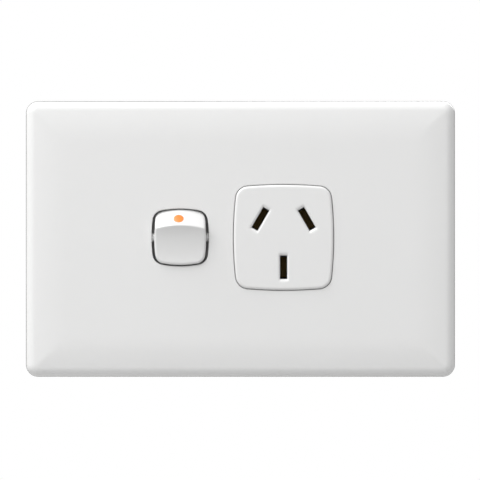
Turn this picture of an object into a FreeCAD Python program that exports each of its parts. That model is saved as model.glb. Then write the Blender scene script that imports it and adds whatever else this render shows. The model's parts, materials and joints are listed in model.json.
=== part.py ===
import FreeCAD, Part
import math
import os
import types

import Sketcher

# Single power point: one switched flat-pin socket outlet, millimetres and degrees.
# The wall plane is y = 0, the front faces -Y, +X is to the right and +Z is up.
# The origin is on the wall plane at the middle of the plate.

Vector = FreeCAD.Vector
Rotation = FreeCAD.Rotation

ALONG_X = Vector(1, 0, 0)
ALONG_Y = Vector(0, 1, 0)
ALONG_Z = Vector(0, 0, 1)

# Driving sizes
SIZES = {
    # cover plate
    "plate_width": 127.0,
    "plate_height": 81.6,
    "plate_corner": 3.6,
    "plate_depth": 10.5,
    "cover_lift": 0.2,
    "cover_draft": 1.5,
    "cover_face_wall": 2.2,
    "cover_side_wall": 2.0,
    "crown_run": 12.0,
    "crown_radius": 68.0,
    "edge_round": 3.0,
    "aperture_round": 0.3,
    # places of the two mechanisms on the plate
    "mechanism_rise": 0.45,
    "socket_x": 12.75,
    "rocker_x": -17.8,
    # socket face
    "socket_width": 30.0,
    "socket_height": 31.6,
    "socket_side_radius": 110.0,
    "socket_end_radius": 128.0,
    "socket_corner": 4.0,
    "socket_proud": 0.6,
    "socket_edge_round": 0.8,
    "socket_seam": 0.25,
    "socket_side_wall": 1.6,
    "socket_face_wall": 2.4,
    # pin slots
    "pin_centre_rise": 1.5,
    "pin_offset": 7.92,
    "earth_offset": 10.31,
    "pin_lean": 30.0,
    "slot_length": 6.9,
    "slot_width": 2.05,
    "funnel_length": 9.2,
    "funnel_width": 3.5,
    "funnel_depth": 0.9,
    # switch aperture and rocker
    "switch_width": 16.9,
    "switch_height": 17.0,
    "switch_side_radius": 43.0,
    "switch_end_radius": 30.0,
    "switch_corner": 3.2,
    "switch_lip": 0.6,
    "relief_width": 22.4,
    "relief_height": 19.0,
    "rocker_width": 15.5,
    "rocker_reach": 8.45,
    "rocker_corner": 2.7,
    "pivot_sink": 2.2,
    "rocker_foot_proud": 1.0,
    "rocker_top_sunk": 0.6,
    "scoop_radius": 40.0,
    "scoop_turn": 12.0,
    "ridge_hollow_radius": 5.8,
    "ridge_hollow_turn": 48.0,
    "facet_barrel": 28.0,
    "rocker_wall": 1.5,
    "rocker_back": 2.5,
    "rocker_travel": 16.0,
    "trunnion_radius": 1.3,
    "trunnion_length": 1.75,
    "pivot_clearance": 0.05,
    "dot_radius": 1.5,
    "dot_depth": 0.6,
    "dot_rise": 5.55,
    "dot_shift": 0.45,
    "dot_clearance": 0.03,
    # switch well
    "well_clearance": 0.85,
    "well_wall": 1.4,
    "cheek_gap": 0.85,
    "cheek_wall": 2.0,
    "cheek_half": 4.0,
    "trunnion_mouth": 2.2,
    "trunnion_end_gap": 0.3,
    "well_window": 12.0,
    # base plate
    "cover_fit": 0.3,
    "base_thickness": 3.0,
    "base_recess": 0.5,
    "base_rim": 3.0,
    "locating_wall": 1.6,
    "locating_height": 3.0,
    "clip_pitch": 60.0,
    "clip_length": 8.0,
    "clip_bite": 0.7,
    "clip_back": 1.2,
    "clip_front": 2.9,
    "clip_slope": 0.4,
    "clip_play": 0.3,
    "clip_end_play": 1.0,
    # mounting screws
    "mount_pitch": 84.0,
    "mount_slot_width": 4.4,
    "mount_slot_length": 7.5,
    "mount_boss_wall": 2.3,
    "mount_screw_radius": 1.75,
    "mount_neck_radius": 1.5,
    "mount_head_radius": 3.5,
    "mount_head_height": 2.4,
    "mount_head_bevel_width": 0.6,
    "mount_head_bevel_height": 0.9,
    "mount_drive_width": 1.0,
    "mount_drive_depth": 1.2,
    "mount_screw_reach": 25.0,
    "mount_point_width": 0.7,
    "mount_point_length": 1.0,
    # rear case
    "case_side_play": 0.7,
    "case_end_play": 1.2,
    "case_corner": 2.5,
    "case_reach": 23.0,
    "case_wall": 1.8,
    "case_edge_round": 1.6,
    "barrier_wall": 1.2,
    "barrier_gap": 0.5,
    "post_radius": 2.8,
    "post_reach": 9.0,
    "post_left_offset": 4.8,
    "post_middle_offset": 9.75,
    "post_top_rise": 13.75,
    "post_bottom_drop": 12.65,
    "case_screw_radius": 1.15,
    "case_screw_fit": 0.05,
    "case_screw_pass": 0.25,
    "case_screw_bite": 6.5,
    "case_screw_room": 1.0,
    "case_screw_point": 0.8,
    "case_drive_width": 0.7,
    "case_drive_depth": 0.9,
    "case_head_radius": 2.4,
    "case_head_height": 1.8,
    "head_fit": 0.3,
    # brass work
    "strip_thickness": 0.8,
    "strip_level": 11.4,
    "clip_half_gap": 1.3,
    "clip_pinch": 0.75,
    "clip_mouth": 1.9,
    "clip_mouth_level": 5.5,
    "clip_pinch_level": 3.0,
    "pin_clip_width": 6.0,
    "tail_width": 4.5,
    "tail_margin": 0.5,
    "strip_overhang": 0.6,
    "strip_arm_gap": 1.0,
    "strip_rest_width": 2.0,
    "strip_rest_offset": 12.0,
    # terminals
    "terminal_left_offset": 6.7,
    "terminal_right_offset": 13.75,
    "terminal_top_rise": 10.55,
    "terminal_bottom_drop": 9.45,
    "terminal_width": 8.0,
    "terminal_height": 10.0,
    "terminal_seat": 0.3,
    "wire_bore_radius": 2.1,
    "wire_bore_wall": 1.0,
    "wire_entry_radius": 2.7,
    "terminal_screw_radius": 1.95,
    "terminal_screw_fit": 0.05,
    "terminal_screw_stop": 0.3,
    "terminal_head_radius": 3.0,
    "terminal_head_height": 2.0,
    "terminal_head_lift": 0.4,
    "terminal_drive_width": 0.9,
    "terminal_drive_depth": 1.1,
    "screw_bevel": 0.4,
    # plunger and see-saw
    "plunger_reach": 12.0,
    "plunger_radius": 1.5,
    "plunger_tip_radius": 1.2,
    "plunger_fit": 0.1,
    "plunger_tube_wall": 0.9,
    "plunger_tube_back": 4.6,
    "plunger_tube_front": 4.0,
    "plunger_bore_front": 2.6,
    "plunger_seat": 3.0,
    "spring_wire": 0.5,
    "spring_turns": 4.0,
    "spring_fit": 0.15,
    "arm_travel": 18.0,
    "arm_play": 0.05,
    "arm_thickness": 1.0,
    "arm_half_length": 7.4,
    "arm_width": 5.0,
    "arm_bearing": 0.6,
    "arm_bearing_fit": 0.05,
    "arm_bearing_offset": 0.25,
    "tip_reach": 6.0,
    "tip_radius": 1.5,
    "tip_height": 1.15,
    "tip_gap": 0.05,
    "tip_dome": 4.0,
    "fixed_strip_step": 0.95,
    "ear_gap": 0.3,
    "ear_half": 1.8,
    "ear_rise": 1.6,
}


class Size:
    """A size that keeps its number beside the sheet formula that gives it."""

    def __init__(self, value, formula):
        self.value = value
        self.formula = formula

    def __add__(self, other):
        other = as_size(other)
        return Size(self.value + other.value, "(%s + %s)" % (self.formula, other.formula))

    def __sub__(self, other):
        other = as_size(other)
        return Size(self.value - other.value, "(%s - %s)" % (self.formula, other.formula))

    def __mul__(self, other):
        other = as_size(other)
        return Size(self.value * other.value, "(%s * %s)" % (self.formula, other.formula))

    def __truediv__(self, other):
        other = as_size(other)
        return Size(self.value / other.value, "(%s / %s)" % (self.formula, other.formula))

    def __radd__(self, other):
        return as_size(other) + self

    def __rsub__(self, other):
        return as_size(other) - self

    def __rmul__(self, other):
        return as_size(other) * self

    def __neg__(self):
        return Size(-self.value, "(0 - %s)" % self.formula)


def as_size(number):
    if isinstance(number, Size):
        return number
    return Size(float(number), "%.9g" % number if number >= 0 else "(0 - %.9g)" % -number)


def root(size):
    return Size(math.sqrt(size.value), "sqrt(%s)" % size.formula)


def sine(angle):
    return Size(math.sin(math.radians(angle.value)), "sin(%s)" % angle.formula)


def cosine(angle):
    return Size(math.cos(math.radians(angle.value)), "cos(%s)" % angle.formula)


def arc_angle(rise, run):
    """The angle whose tangent is rise over run, both positive."""
    value = math.degrees(math.atan2(rise.value, run.value))
    return Size(value, "(atan2(%s; %s) / 1deg)" % (rise.formula, run.formula))


S = types.SimpleNamespace(**{name: Size(value, "Sizes." + name) for name, value in SIZES.items()})

doc = FreeCAD.newDocument("single_power_point")


def make_sheet():
    sheet = doc.addObject("Spreadsheet::Sheet", "Sizes")
    for row, (name, value) in enumerate(SIZES.items(), 1):
        sheet.set("A%d" % row, name)
        sheet.set("B%d" % row, str(value))
        sheet.setAlias("B%d" % row, name)
    doc.recompute()


def bind(item, prop, size):
    item.setExpression(prop, as_size(size).formula)


# Bodies, sketches and features

def new_body(name, place=(0, 0, 0), turn=None):
    """A body at a point, turned about X where turn is given."""
    body = doc.addObject("PartDesign::Body", name)
    spot = [as_size(number) for number in place]
    spin = as_size(turn if turn is not None else 0)
    body.Placement = FreeCAD.Placement(Vector(*[one.value for one in spot]),
                                       Rotation(ALONG_X, spin.value))
    for axis, size in zip("xyz", spot):
        bind(body, "Placement.Base." + axis, size)
    if turn is not None:
        bind(body, "Placement.Rotation.Angle", spin)
    return body


def new_sketch(body, role, offset=(0, 0, 0), turn=None, about=ALONG_Z):
    """A sketch on one of the body's origin planes, moved and turned in that plane's own axes."""
    plane = next(item for item in body.Origin.OriginFeatures if item.Role == role)
    sketch = body.newObject("Sketcher::SketchObject", body.Label + "_sketch")
    sketch.AttachmentSupport = [(plane, "")]
    sketch.MapMode = "FlatFace"
    spot = [as_size(number) for number in offset]
    spin = as_size(turn if turn is not None else 0)
    sketch.AttachmentOffset = FreeCAD.Placement(Vector(*[one.value for one in spot]),
                                                Rotation(about, spin.value))
    for axis, size in zip("xyz", spot):
        bind(sketch, "AttachmentOffset.Base." + axis, size)
    if turn is not None:
        bind(sketch, "AttachmentOffset.Rotation.Angle", spin)
    return sketch


def front_sketch(body, x=0, z=0, level=0, turn=None, about=ALONG_Z):
    """A sketch that faces the viewer; level is its distance in front of the wall plane."""
    return new_sketch(body, "XZ_Plane", (x, z, level), turn, about)


def side_sketch(body, x=0, y=0, z=0, turn=None):
    """A sketch seen from the right, with its own x along +Y and its own y along +Z."""
    return new_sketch(body, "YZ_Plane", (y, z, x), turn)


def plan_sketch(body, x=0, y=0, z=0, turn=None, about=ALONG_Z):
    """A sketch seen from above, with its own x along +X and its own y along +Y."""
    return new_sketch(body, "XY_Plane", (x, y, z), turn, about)


HALF_ROUND = "half round"


def fix_point(sketch, part, end, x, y):
    for kind, size, axis in (("DistanceX", x, -2), ("DistanceY", y, -1)):
        if not isinstance(size, Size) and size == 0:
            sketch.addConstraint(Sketcher.Constraint("PointOnObject", part, end, axis))
        else:
            number = as_size(size)
            row = sketch.addConstraint(Sketcher.Constraint(kind, -1, 1, part, end, number.value))
            bind(sketch, "Constraints[%d]" % row, number)


def fix_radius(sketch, part, radius):
    row = sketch.addConstraint(Sketcher.Constraint("Radius", part, radius.value))
    bind(sketch, "Constraints[%d]" % row, radius)


def arc_between(start, end, radius):
    """An arc from start to end; a positive radius turns left and a negative one turns right."""
    chord = end - start
    middle = (start + end) * 0.5
    left = Vector(-chord.y, chord.x, 0).normalize()
    height = math.sqrt(max(radius * radius - chord.Length * chord.Length / 4.0, 0.0))
    centre = middle + left * height * (1 if radius > 0 else -1)
    first, last = (start, end) if radius > 0 else (end, start)
    angles = [math.atan2(point.y - centre.y, point.x - centre.x) for point in (first, last)]
    return Part.ArcOfCircle(Part.Circle(centre, ALONG_Z, abs(radius)), *angles)


def draw(sketch, points):
    """A closed outline. A third entry in a point is the radius of the arc to the next point, or
    HALF_ROUND for half a circle that turns left and stands on an upright chord."""
    first = sketch.GeometryCount
    corners = [Vector(as_size(point[0]).value, as_size(point[1]).value, 0) for point in points]
    turns_right = []
    for index, point in enumerate(points):
        start = corners[index]
        end = corners[(index + 1) % len(points)]
        radius = point[2] if len(point) > 2 else None
        turns_right.append(isinstance(radius, Size) and radius.value < 0)
        if radius is None:
            sketch.addGeometry(Part.LineSegment(start, end))
        elif radius is HALF_ROUND:
            sketch.addGeometry(arc_between(start, end, (end - start).Length / 2))
        else:
            sketch.addGeometry(arc_between(start, end, radius.value))
    for index, point in enumerate(points):
        part = first + index
        follower = first + (index + 1) % len(points)
        leave = 1 if turns_right[index] else 2
        enter = 2 if turns_right[(index + 1) % len(points)] else 1
        sketch.addConstraint(Sketcher.Constraint("Coincident", part, leave, follower, enter))
        fix_point(sketch, part, 2 if turns_right[index] else 1, point[0], point[1])
        if len(point) > 2 and point[2] is HALF_ROUND:
            sketch.addConstraint(Sketcher.Constraint("Vertical", part, 3, part, 1))
        elif len(point) > 2:
            fix_radius(sketch, part, point[2] if point[2].value > 0 else -point[2])


def draw_circle(sketch, radius, x=0, y=0):
    spot = Vector(as_size(x).value, as_size(y).value, 0)
    part = sketch.addGeometry(Part.Circle(spot, ALONG_Z, radius.value))
    fix_radius(sketch, part, radius)
    fix_point(sketch, part, 3, x, y)


def draw_box(sketch, width, height, x=0, y=0):
    left, right = x - width / 2, x + width / 2
    low, high = y - height / 2, y + height / 2
    draw(sketch, [(left, low), (right, low), (right, high), (left, high)])


def draw_rounded_box(sketch, width, height, corner):
    side, end = width / 2, height / 2
    near_side, near_end = side - corner, end - corner
    draw(sketch, [
        (-near_side, -end), (near_side, -end, corner),
        (side, -near_end), (side, near_end, corner),
        (near_side, end), (-near_side, end, corner),
        (-side, near_end), (-side, -near_end, corner)])


def draw_slot(sketch, width, length):
    """A slot with round ends, its length along the sketch's own x."""
    end = width / 2
    flat = (length - width) / 2
    draw(sketch, [(-flat, -end), (flat, -end, HALF_ROUND), (flat, end), (-flat, end, HALF_ROUND)])


def corner_centre(side_centre, side_radius, end_centre, end_radius, corner):
    """Where the corner circle sits inside both the side circle and the end circle."""
    reach_side = side_radius - corner
    reach_end = end_radius - corner
    span = end_centre - side_centre
    along = (span.Length ** 2 + reach_side ** 2 - reach_end ** 2) / (2 * span.Length)
    across = math.sqrt(reach_side ** 2 - along ** 2)
    unit = Vector(span).normalize()
    normal = Vector(-unit.y, unit.x, 0)
    options = [side_centre + unit * along + normal * across * side for side in (1, -1)]
    return max(options, key=lambda point: point.x + point.y)


def angle_of(point, centre):
    return math.atan2(point.y - centre.y, point.x - centre.x)


def draw_bulged_box(sketch, width, height, side_radius, end_radius, corner):
    """A box with gently bulged sides and ends and tangent round corners."""
    side = Vector(width.value / 2 - side_radius.value, 0, 0)
    end = Vector(0, height.value / 2 - end_radius.value, 0)
    knee = corner_centre(side, side_radius.value, end, end_radius.value, corner.value)
    low = angle_of(knee, side)
    high = angle_of(knee, end)
    quarter, half = math.pi / 2, math.pi
    arcs = [
        (side, side_radius, -low, low),
        (knee, corner, low, high),
        (end, end_radius, high, half - high),
        (Vector(-knee.x, knee.y, 0), corner, half - high, half - low),
        (Vector(-side.x, 0, 0), side_radius, half - low, half + low),
        (Vector(-knee.x, -knee.y, 0), corner, half + low, half + high),
        (Vector(0, -end.y, 0), end_radius, half + high, 2 * half - high),
        (Vector(knee.x, -knee.y, 0), corner, -high, -low)]
    for centre, radius, start, stop in arcs:
        sketch.addGeometry(Part.ArcOfCircle(Part.Circle(centre, ALONG_Z, radius.value), start, stop))
    for index in range(len(arcs)):
        follower = (index + 1) % len(arcs)
        sketch.addConstraint(Sketcher.Constraint("Tangent", index, 2, follower, 1))
        fix_radius(sketch, index, arcs[index][1])
    fix_point(sketch, 0, 3, width / 2 - side_radius, 0)
    fix_point(sketch, 4, 3, side_radius - width / 2, 0)
    fix_point(sketch, 2, 3, 0, height / 2 - end_radius)
    fix_point(sketch, 6, 3, 0, end_radius - height / 2)


def draw_half_bulged_box(sketch, width, reach, side_radius, end_radius, corner):
    """The upper half of such a box, closed along the sketch's own x."""
    side = Vector(width.value / 2 - side_radius.value, 0, 0)
    end = Vector(0, reach.value - end_radius.value, 0)
    knee = corner_centre(side, side_radius.value, end, end_radius.value, corner.value)
    low = angle_of(knee, side)
    high = angle_of(knee, end)
    half = math.pi
    arcs = [
        (side, side_radius, 0, low),
        (knee, corner, low, high),
        (end, end_radius, high, half - high),
        (Vector(-knee.x, knee.y, 0), corner, half - high, half - low),
        (Vector(-side.x, 0, 0), side_radius, half - low, half)]
    for centre, radius, start, stop in arcs:
        sketch.addGeometry(Part.ArcOfCircle(Part.Circle(centre, ALONG_Z, radius.value), start, stop))
    for index in range(len(arcs) - 1):
        sketch.addConstraint(Sketcher.Constraint("Tangent", index, 2, index + 1, 1))
    for index, arc in enumerate(arcs):
        fix_radius(sketch, index, arc[1])
    edge = width.value / 2
    base = sketch.addGeometry(Part.LineSegment(Vector(-edge, 0, 0), Vector(edge, 0, 0)))
    sketch.addConstraint(Sketcher.Constraint("Coincident", 4, 2, base, 1))
    sketch.addConstraint(Sketcher.Constraint("Coincident", base, 2, 0, 1))
    fix_point(sketch, 0, 3, width / 2 - side_radius, 0)
    fix_point(sketch, 4, 3, side_radius - width / 2, 0)
    fix_point(sketch, 2, 3, 0, reach - end_radius)
    sketch.addConstraint(Sketcher.Constraint("PointOnObject", 0, 1, -1))
    sketch.addConstraint(Sketcher.Constraint("PointOnObject", 4, 2, -1))


def finish_feature(body, feature, before, grows):
    doc.recompute()
    change = body.Shape.Volume - before
    if change * (1 if grows else -1) <= 0:
        raise RuntimeError("%s changes nothing: %.4f" % (feature.Name, change))
    return feature


def volume_of(body):
    return body.Shape.Volume if body.Tip and not body.Shape.isNull() else 0.0


def pad(body, sketch, length, back=False, both=False, taper=None):
    """Adds material along the sketch's normal, behind it, or on both sides of it."""
    before = volume_of(body)
    feature = body.newObject("PartDesign::Pad", body.Label + "_pad")
    feature.Profile = sketch
    feature.SideType = "Symmetric" if both else "One side"
    feature.Reversed = back
    bind(feature, "Length", length)
    if taper is not None:
        bind(feature, "TaperAngle", taper)
    return finish_feature(body, feature, before, True)


def cut(body, sketch, length, ahead=False, both=False):
    """Cuts behind the sketch, ahead of it, or on both sides of it."""
    before = volume_of(body)
    feature = body.newObject("PartDesign::Pocket", body.Label + "_cut")
    feature.Profile = sketch
    feature.SideType = "Symmetric" if both else "One side"
    feature.Reversed = ahead
    bind(feature, "Length", length)
    return finish_feature(body, feature, before, False)


def revolve(body, sketch, axis):
    feature = body.newObject("PartDesign::Revolution", body.Label + "_turned")
    feature.Profile = sketch
    feature.ReferenceAxis = (sketch, [axis])
    feature.Angle = 360.0
    return finish_feature(body, feature, 0.0, True)


def pick_edges(body, test):
    return ["Edge%d" % number for number, edge in enumerate(body.Shape.Edges, 1) if test(edge)]


def dress(body, kind, prop, size, test):
    names = pick_edges(body, test)
    base = body.Tip
    feature = body.newObject("PartDesign::" + kind, body.Label + "_" + kind.lower())
    feature.Base = (base, names)
    bind(feature, prop, size)
    doc.recompute()
    if "Invalid" in feature.State:
        raise RuntimeError("%s failed on %d edges" % (feature.Name, len(names)))


def soften(body, radius, test):
    """Rounds the edges that pass the test."""
    dress(body, "Fillet", "Radius", radius, test)


def bevel(body, size, test):
    """Bevels the edges that pass the test."""
    dress(body, "Chamfer", "Size", size, test)


def lies_on(edge, axis, level, slack=0.001):
    """True where the whole edge lies on the plane across that axis."""
    box = edge.BoundBox
    low, high = getattr(box, axis + "Min"), getattr(box, axis + "Max")
    return abs(low - level) < slack and abs(high - level) < slack


# Places that several pieces share

# How far a cut runs on past the face that it leaves through
PAST = 1

SOCKET_FACE = S.plate_depth + S.socket_proud
PIN_Z = S.mechanism_rise + S.pin_centre_rise
PIN_X_OFFSET = S.pin_offset * cosine(S.pin_lean)
PIN_Z_OFFSET = S.pin_offset * sine(S.pin_lean)
PIN_SLOTS = {
    "active": (S.socket_x - PIN_X_OFFSET, PIN_Z + PIN_Z_OFFSET, S.pin_lean),
    "neutral": (S.socket_x + PIN_X_OFFSET, PIN_Z + PIN_Z_OFFSET, -S.pin_lean),
    "earth": (S.socket_x, PIN_Z - S.earth_offset, as_size(0)),
}
PIVOT_LEVEL = S.plate_depth - S.pivot_sink
BASE_WIDTH = S.plate_width - 2 * (S.cover_side_wall + S.cover_fit)
BASE_HEIGHT = S.plate_height - 2 * (S.cover_side_wall + S.cover_fit)
BASE_BACK = S.base_recess
CASE_FLOOR = S.case_reach - S.case_wall
TERMINAL_LEFT = S.rocker_x - S.terminal_left_offset
TERMINAL_RIGHT = S.socket_x + S.terminal_right_offset
TERMINAL_TOP = S.mechanism_rise + S.terminal_top_rise
TERMINAL_BOTTOM = S.mechanism_rise - S.terminal_bottom_drop
TERMINALS = {
    "active": (TERMINAL_LEFT, TERMINAL_TOP),
    "loop": (TERMINAL_LEFT, TERMINAL_BOTTOM),
    "neutral": (TERMINAL_RIGHT, TERMINAL_TOP),
    "earth": (TERMINAL_RIGHT, TERMINAL_BOTTOM),
}
CASE_X = (TERMINAL_LEFT + TERMINAL_RIGHT) / 2
CASE_Z = (TERMINAL_TOP + TERMINAL_BOTTOM) / 2
CASE_WIDTH = (TERMINAL_RIGHT - TERMINAL_LEFT + S.terminal_width
              + 2 * (S.case_side_play + S.case_wall))
CASE_HEIGHT = (TERMINAL_TOP - TERMINAL_BOTTOM + S.terminal_height
               + 2 * (S.case_end_play + S.case_wall))
BORE_Y = S.strip_level + S.wire_bore_wall + S.wire_bore_radius
POST_LEFT = S.rocker_x + S.post_left_offset
POST_TOP = S.mechanism_rise + S.post_top_rise
POST_BOTTOM = S.mechanism_rise - S.post_bottom_drop
POST_SPOTS = [
    (POST_LEFT, POST_TOP),
    (POST_LEFT, POST_BOTTOM),
    (S.socket_x, POST_TOP),
    (S.socket_x - S.post_middle_offset, POST_BOTTOM),
]
HALF_ROCK = S.rocker_travel / 2
HALF_ARM = S.arm_travel / 2
REST_ROCK = -HALF_ROCK
REST_ARM = HALF_ARM
ARM_FACE = S.arm_bearing_offset + S.arm_thickness
ARM_PIVOT_Y = S.plunger_reach - PIVOT_LEVEL + S.arm_play + ARM_FACE


# Cover plate

def crown_outline(half, level, radius, run):
    """What is cut away in front of the face, which falls off towards the top and the bottom."""
    over = run + PAST
    drop = radius - root(radius * radius - over * over)
    flat, out, ahead = half - run, half - run + over, -(level + PAST)
    return [
        (-level, -flat), (-level, flat, -radius), (drop - level, out),
        (ahead, out), (ahead, -out), (drop - level, -out, -radius)]


def make_cover():
    body = new_body("cover_plate")
    sketch = front_sketch(body, level=S.cover_lift)
    draw_rounded_box(sketch, S.plate_width, S.plate_height, S.plate_corner)
    pad(body, sketch, S.plate_depth - S.cover_lift, taper=-S.cover_draft)
    crown = side_sketch(body)
    draw(crown, crown_outline(S.plate_height / 2, S.plate_depth, S.crown_radius, S.crown_run))
    cut(body, crown, S.plate_width + 2 * PAST, both=True)
    soften(body, S.edge_round, is_cover_rim)
    hollow_cover(body)
    cut_cover_apertures(body)
    add_cover_clips(body)


def is_cover_rim(edge):
    centre = edge.CenterOfMass
    outside = (abs(centre.x) > S.plate_width.value / 2 - S.plate_corner.value
               or abs(centre.z) > S.plate_height.value / 2 - S.plate_corner.value)
    return outside and centre.y < S.edge_round.value - S.plate_depth.value


def hollow_cover(body):
    sketch = front_sketch(body, level=S.cover_lift)
    draw_rounded_box(sketch, S.plate_width - 2 * S.cover_side_wall,
                     S.plate_height - 2 * S.cover_side_wall, S.plate_corner - S.cover_side_wall)
    cut(body, sketch, S.plate_depth - S.cover_lift - S.cover_face_wall, ahead=True)


def cut_cover_apertures(body):
    relief = front_sketch(body, S.rocker_x, S.mechanism_rise, S.cover_lift)
    draw_box(relief, S.relief_width, S.relief_height)
    cut(body, relief, S.plate_depth - S.cover_lift - S.switch_lip, ahead=True)
    socket = front_sketch(body, S.socket_x, S.mechanism_rise, 0)
    draw_bulged_box(socket, S.socket_width, S.socket_height, S.socket_side_radius,
                    S.socket_end_radius, S.socket_corner)
    cut(body, socket, S.plate_depth + PAST, ahead=True)
    switch = front_sketch(body, S.rocker_x, S.mechanism_rise, 0)
    draw_bulged_box(switch, S.switch_width, S.switch_height, S.switch_side_radius,
                    S.switch_end_radius, S.switch_corner)
    cut(body, switch, S.plate_depth + PAST, ahead=True)
    soften(body, S.aperture_round, is_aperture_edge)


def is_aperture_edge(edge):
    centre = edge.CenterOfMass
    inner = (abs(centre.z) < S.plate_height.value / 2 - S.crown_run.value - PAST
             and abs(centre.x) < S.plate_width.value / 2 - S.crown_run.value - PAST)
    return inner and lies_on(edge, "Y", -S.plate_depth.value)


def add_cover_clips(body):
    wall = S.plate_height / 2 - S.cover_side_wall
    tip = wall - S.clip_bite
    for side in (-1, 1):
        sketch = side_sketch(body, side * S.clip_pitch / 2)
        for end in (-1, 1):
            draw(sketch, [
                (-S.clip_back, end * wall), (-(S.clip_back + S.clip_slope), end * tip),
                (-(S.clip_front - S.clip_slope), end * tip), (-S.clip_front, end * wall)])
        pad(body, sketch, S.clip_length, both=True)


# Base plate: grid, socket face and switch well in one moulding

def make_base():
    body = new_body("base_plate")
    sketch = front_sketch(body)
    draw_rounded_box(sketch, BASE_WIDTH, BASE_HEIGHT, base_corner())
    pad(body, sketch, S.base_thickness)
    recess = front_sketch(body)
    draw_rounded_box(recess, BASE_WIDTH - 2 * S.base_rim, BASE_HEIGHT - 2 * S.base_rim, base_corner())
    cut(body, recess, S.base_recess, ahead=True)
    ring = front_sketch(body, level=S.base_thickness)
    draw_rounded_box(ring, BASE_WIDTH, BASE_HEIGHT, base_corner())
    draw_rounded_box(ring, BASE_WIDTH - 2 * S.locating_wall, BASE_HEIGHT - 2 * S.locating_wall,
                     base_corner())
    pad(body, ring, S.locating_height)
    cut_clip_notches(body)
    add_socket_boss(body)
    add_switch_well(body)
    add_mount_slots(body)
    add_case_posts(body)
    add_strip_rest(body)


def base_corner():
    return S.plate_corner - S.cover_side_wall - S.cover_fit


def cut_clip_notches(body):
    sketch = front_sketch(body)
    depth = S.clip_bite + S.clip_play
    for side in (-1, 1):
        for end in (-1, 1):
            draw_box(sketch, S.clip_length + 2 * S.clip_end_play, 2 * depth, side * S.clip_pitch / 2,
                     end * BASE_HEIGHT / 2)
    cut(body, sketch, S.clip_front + S.clip_play, ahead=True)


def add_socket_boss(body):
    outer = front_sketch(body, S.socket_x, S.mechanism_rise, S.base_thickness)
    draw_bulged_box(outer, S.socket_width - 2 * S.socket_seam, S.socket_height - 2 * S.socket_seam,
                    S.socket_side_radius, S.socket_end_radius, S.socket_corner - S.socket_seam)
    pad(body, outer, SOCKET_FACE - S.base_thickness)
    soften(body, S.socket_edge_round, lambda edge: lies_on(edge, "Y", -SOCKET_FACE.value))
    inset = S.socket_seam + S.socket_side_wall
    inner = front_sketch(body, S.socket_x, S.mechanism_rise, BASE_BACK)
    draw_bulged_box(inner, S.socket_width - 2 * inset, S.socket_height - 2 * inset,
                    S.socket_side_radius, S.socket_end_radius, S.socket_corner - inset)
    cut(body, inner, SOCKET_FACE - BASE_BACK - S.socket_face_wall, ahead=True)
    for x, z, lean in PIN_SLOTS.values():
        cut_pin_slot(body, x, z, lean)


def cut_pin_slot(body, x, z, lean):
    slot = front_sketch(body, x, z, SOCKET_FACE, turn=-lean)
    draw_box(slot, S.slot_width, S.slot_length)
    cut(body, slot, S.socket_face_wall + PAST)
    mouth = front_sketch(body, x, z, SOCKET_FACE, turn=-lean)
    draw_box(mouth, S.funnel_width, S.funnel_length)
    throat = front_sketch(body, x, z, SOCKET_FACE - S.funnel_depth, turn=-lean)
    draw_box(throat, S.slot_width, S.slot_length)
    before = volume_of(body)
    funnel = body.newObject("PartDesign::SubtractiveLoft", body.Label + "_funnel")
    funnel.Profile = mouth
    funnel.Sections = [throat]
    funnel.Ruled = True
    finish_feature(body, funnel, before, False)


def add_switch_well(body):
    half_wide = S.rocker_width / 2 + S.cheek_gap
    half_tall = S.rocker_reach + S.well_clearance
    well = front_sketch(body, S.rocker_x, S.mechanism_rise, S.base_thickness)
    draw_box(well, 2 * (half_wide + S.cheek_wall), 2 * (half_tall + S.well_wall))
    draw_box(well, 2 * half_wide, 2 * half_tall)
    inside = S.plate_depth - S.cover_face_wall - S.cover_fit
    pad(body, well, inside - S.base_thickness)
    top = S.plate_depth - S.switch_lip - S.cover_fit
    for side in (-1, 1):
        cheek = front_sketch(body, S.rocker_x + side * (half_wide + S.cheek_wall / 2),
                             S.mechanism_rise, S.base_thickness)
        draw_box(cheek, S.cheek_wall, 2 * S.cheek_half)
        pad(body, cheek, top - S.base_thickness)
    cut_trunnion_seats(body)
    window = front_sketch(body, S.rocker_x, S.mechanism_rise, S.base_thickness)
    draw_box(window, S.well_window, S.well_window)
    cut(body, window, S.base_thickness)


def cut_trunnion_seats(body):
    span = S.rocker_width + 2 * (S.trunnion_length + S.trunnion_end_gap)
    seat = side_sketch(body, S.rocker_x, -PIVOT_LEVEL, S.mechanism_rise)
    draw_circle(seat, S.trunnion_radius + S.pivot_clearance)
    cut(body, seat, span, both=True)
    mouth = side_sketch(body, S.rocker_x, -PIVOT_LEVEL, S.mechanism_rise)
    draw_box(mouth, S.pivot_sink * 2, S.trunnion_mouth, -S.pivot_sink)
    cut(body, mouth, span, both=True)


def add_mount_slots(body):
    for side in (-1, 1):
        boss = front_sketch(body, side * S.mount_pitch / 2, 0, BASE_BACK)
        draw_slot(boss, S.mount_slot_width + 2 * S.mount_boss_wall,
                  S.mount_slot_length + 2 * S.mount_boss_wall)
        pad(body, boss, S.base_recess, back=True)
        slot = front_sketch(body, side * S.mount_pitch / 2, 0, S.base_thickness)
        draw_slot(slot, S.mount_slot_width, S.mount_slot_length)
        cut(body, slot, S.base_thickness + PAST)


def add_case_posts(body):
    posts = front_sketch(body, level=BASE_BACK)
    for x, z in POST_SPOTS:
        draw_circle(posts, S.post_radius, x, z)
    pad(body, posts, S.post_reach + BASE_BACK, back=True)
    holes = front_sketch(body, level=-S.post_reach)
    for x, z in POST_SPOTS:
        draw_circle(holes, S.case_screw_radius + S.case_screw_fit, x, z)
    cut(body, holes, S.case_screw_bite + S.case_screw_room, ahead=True)


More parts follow.
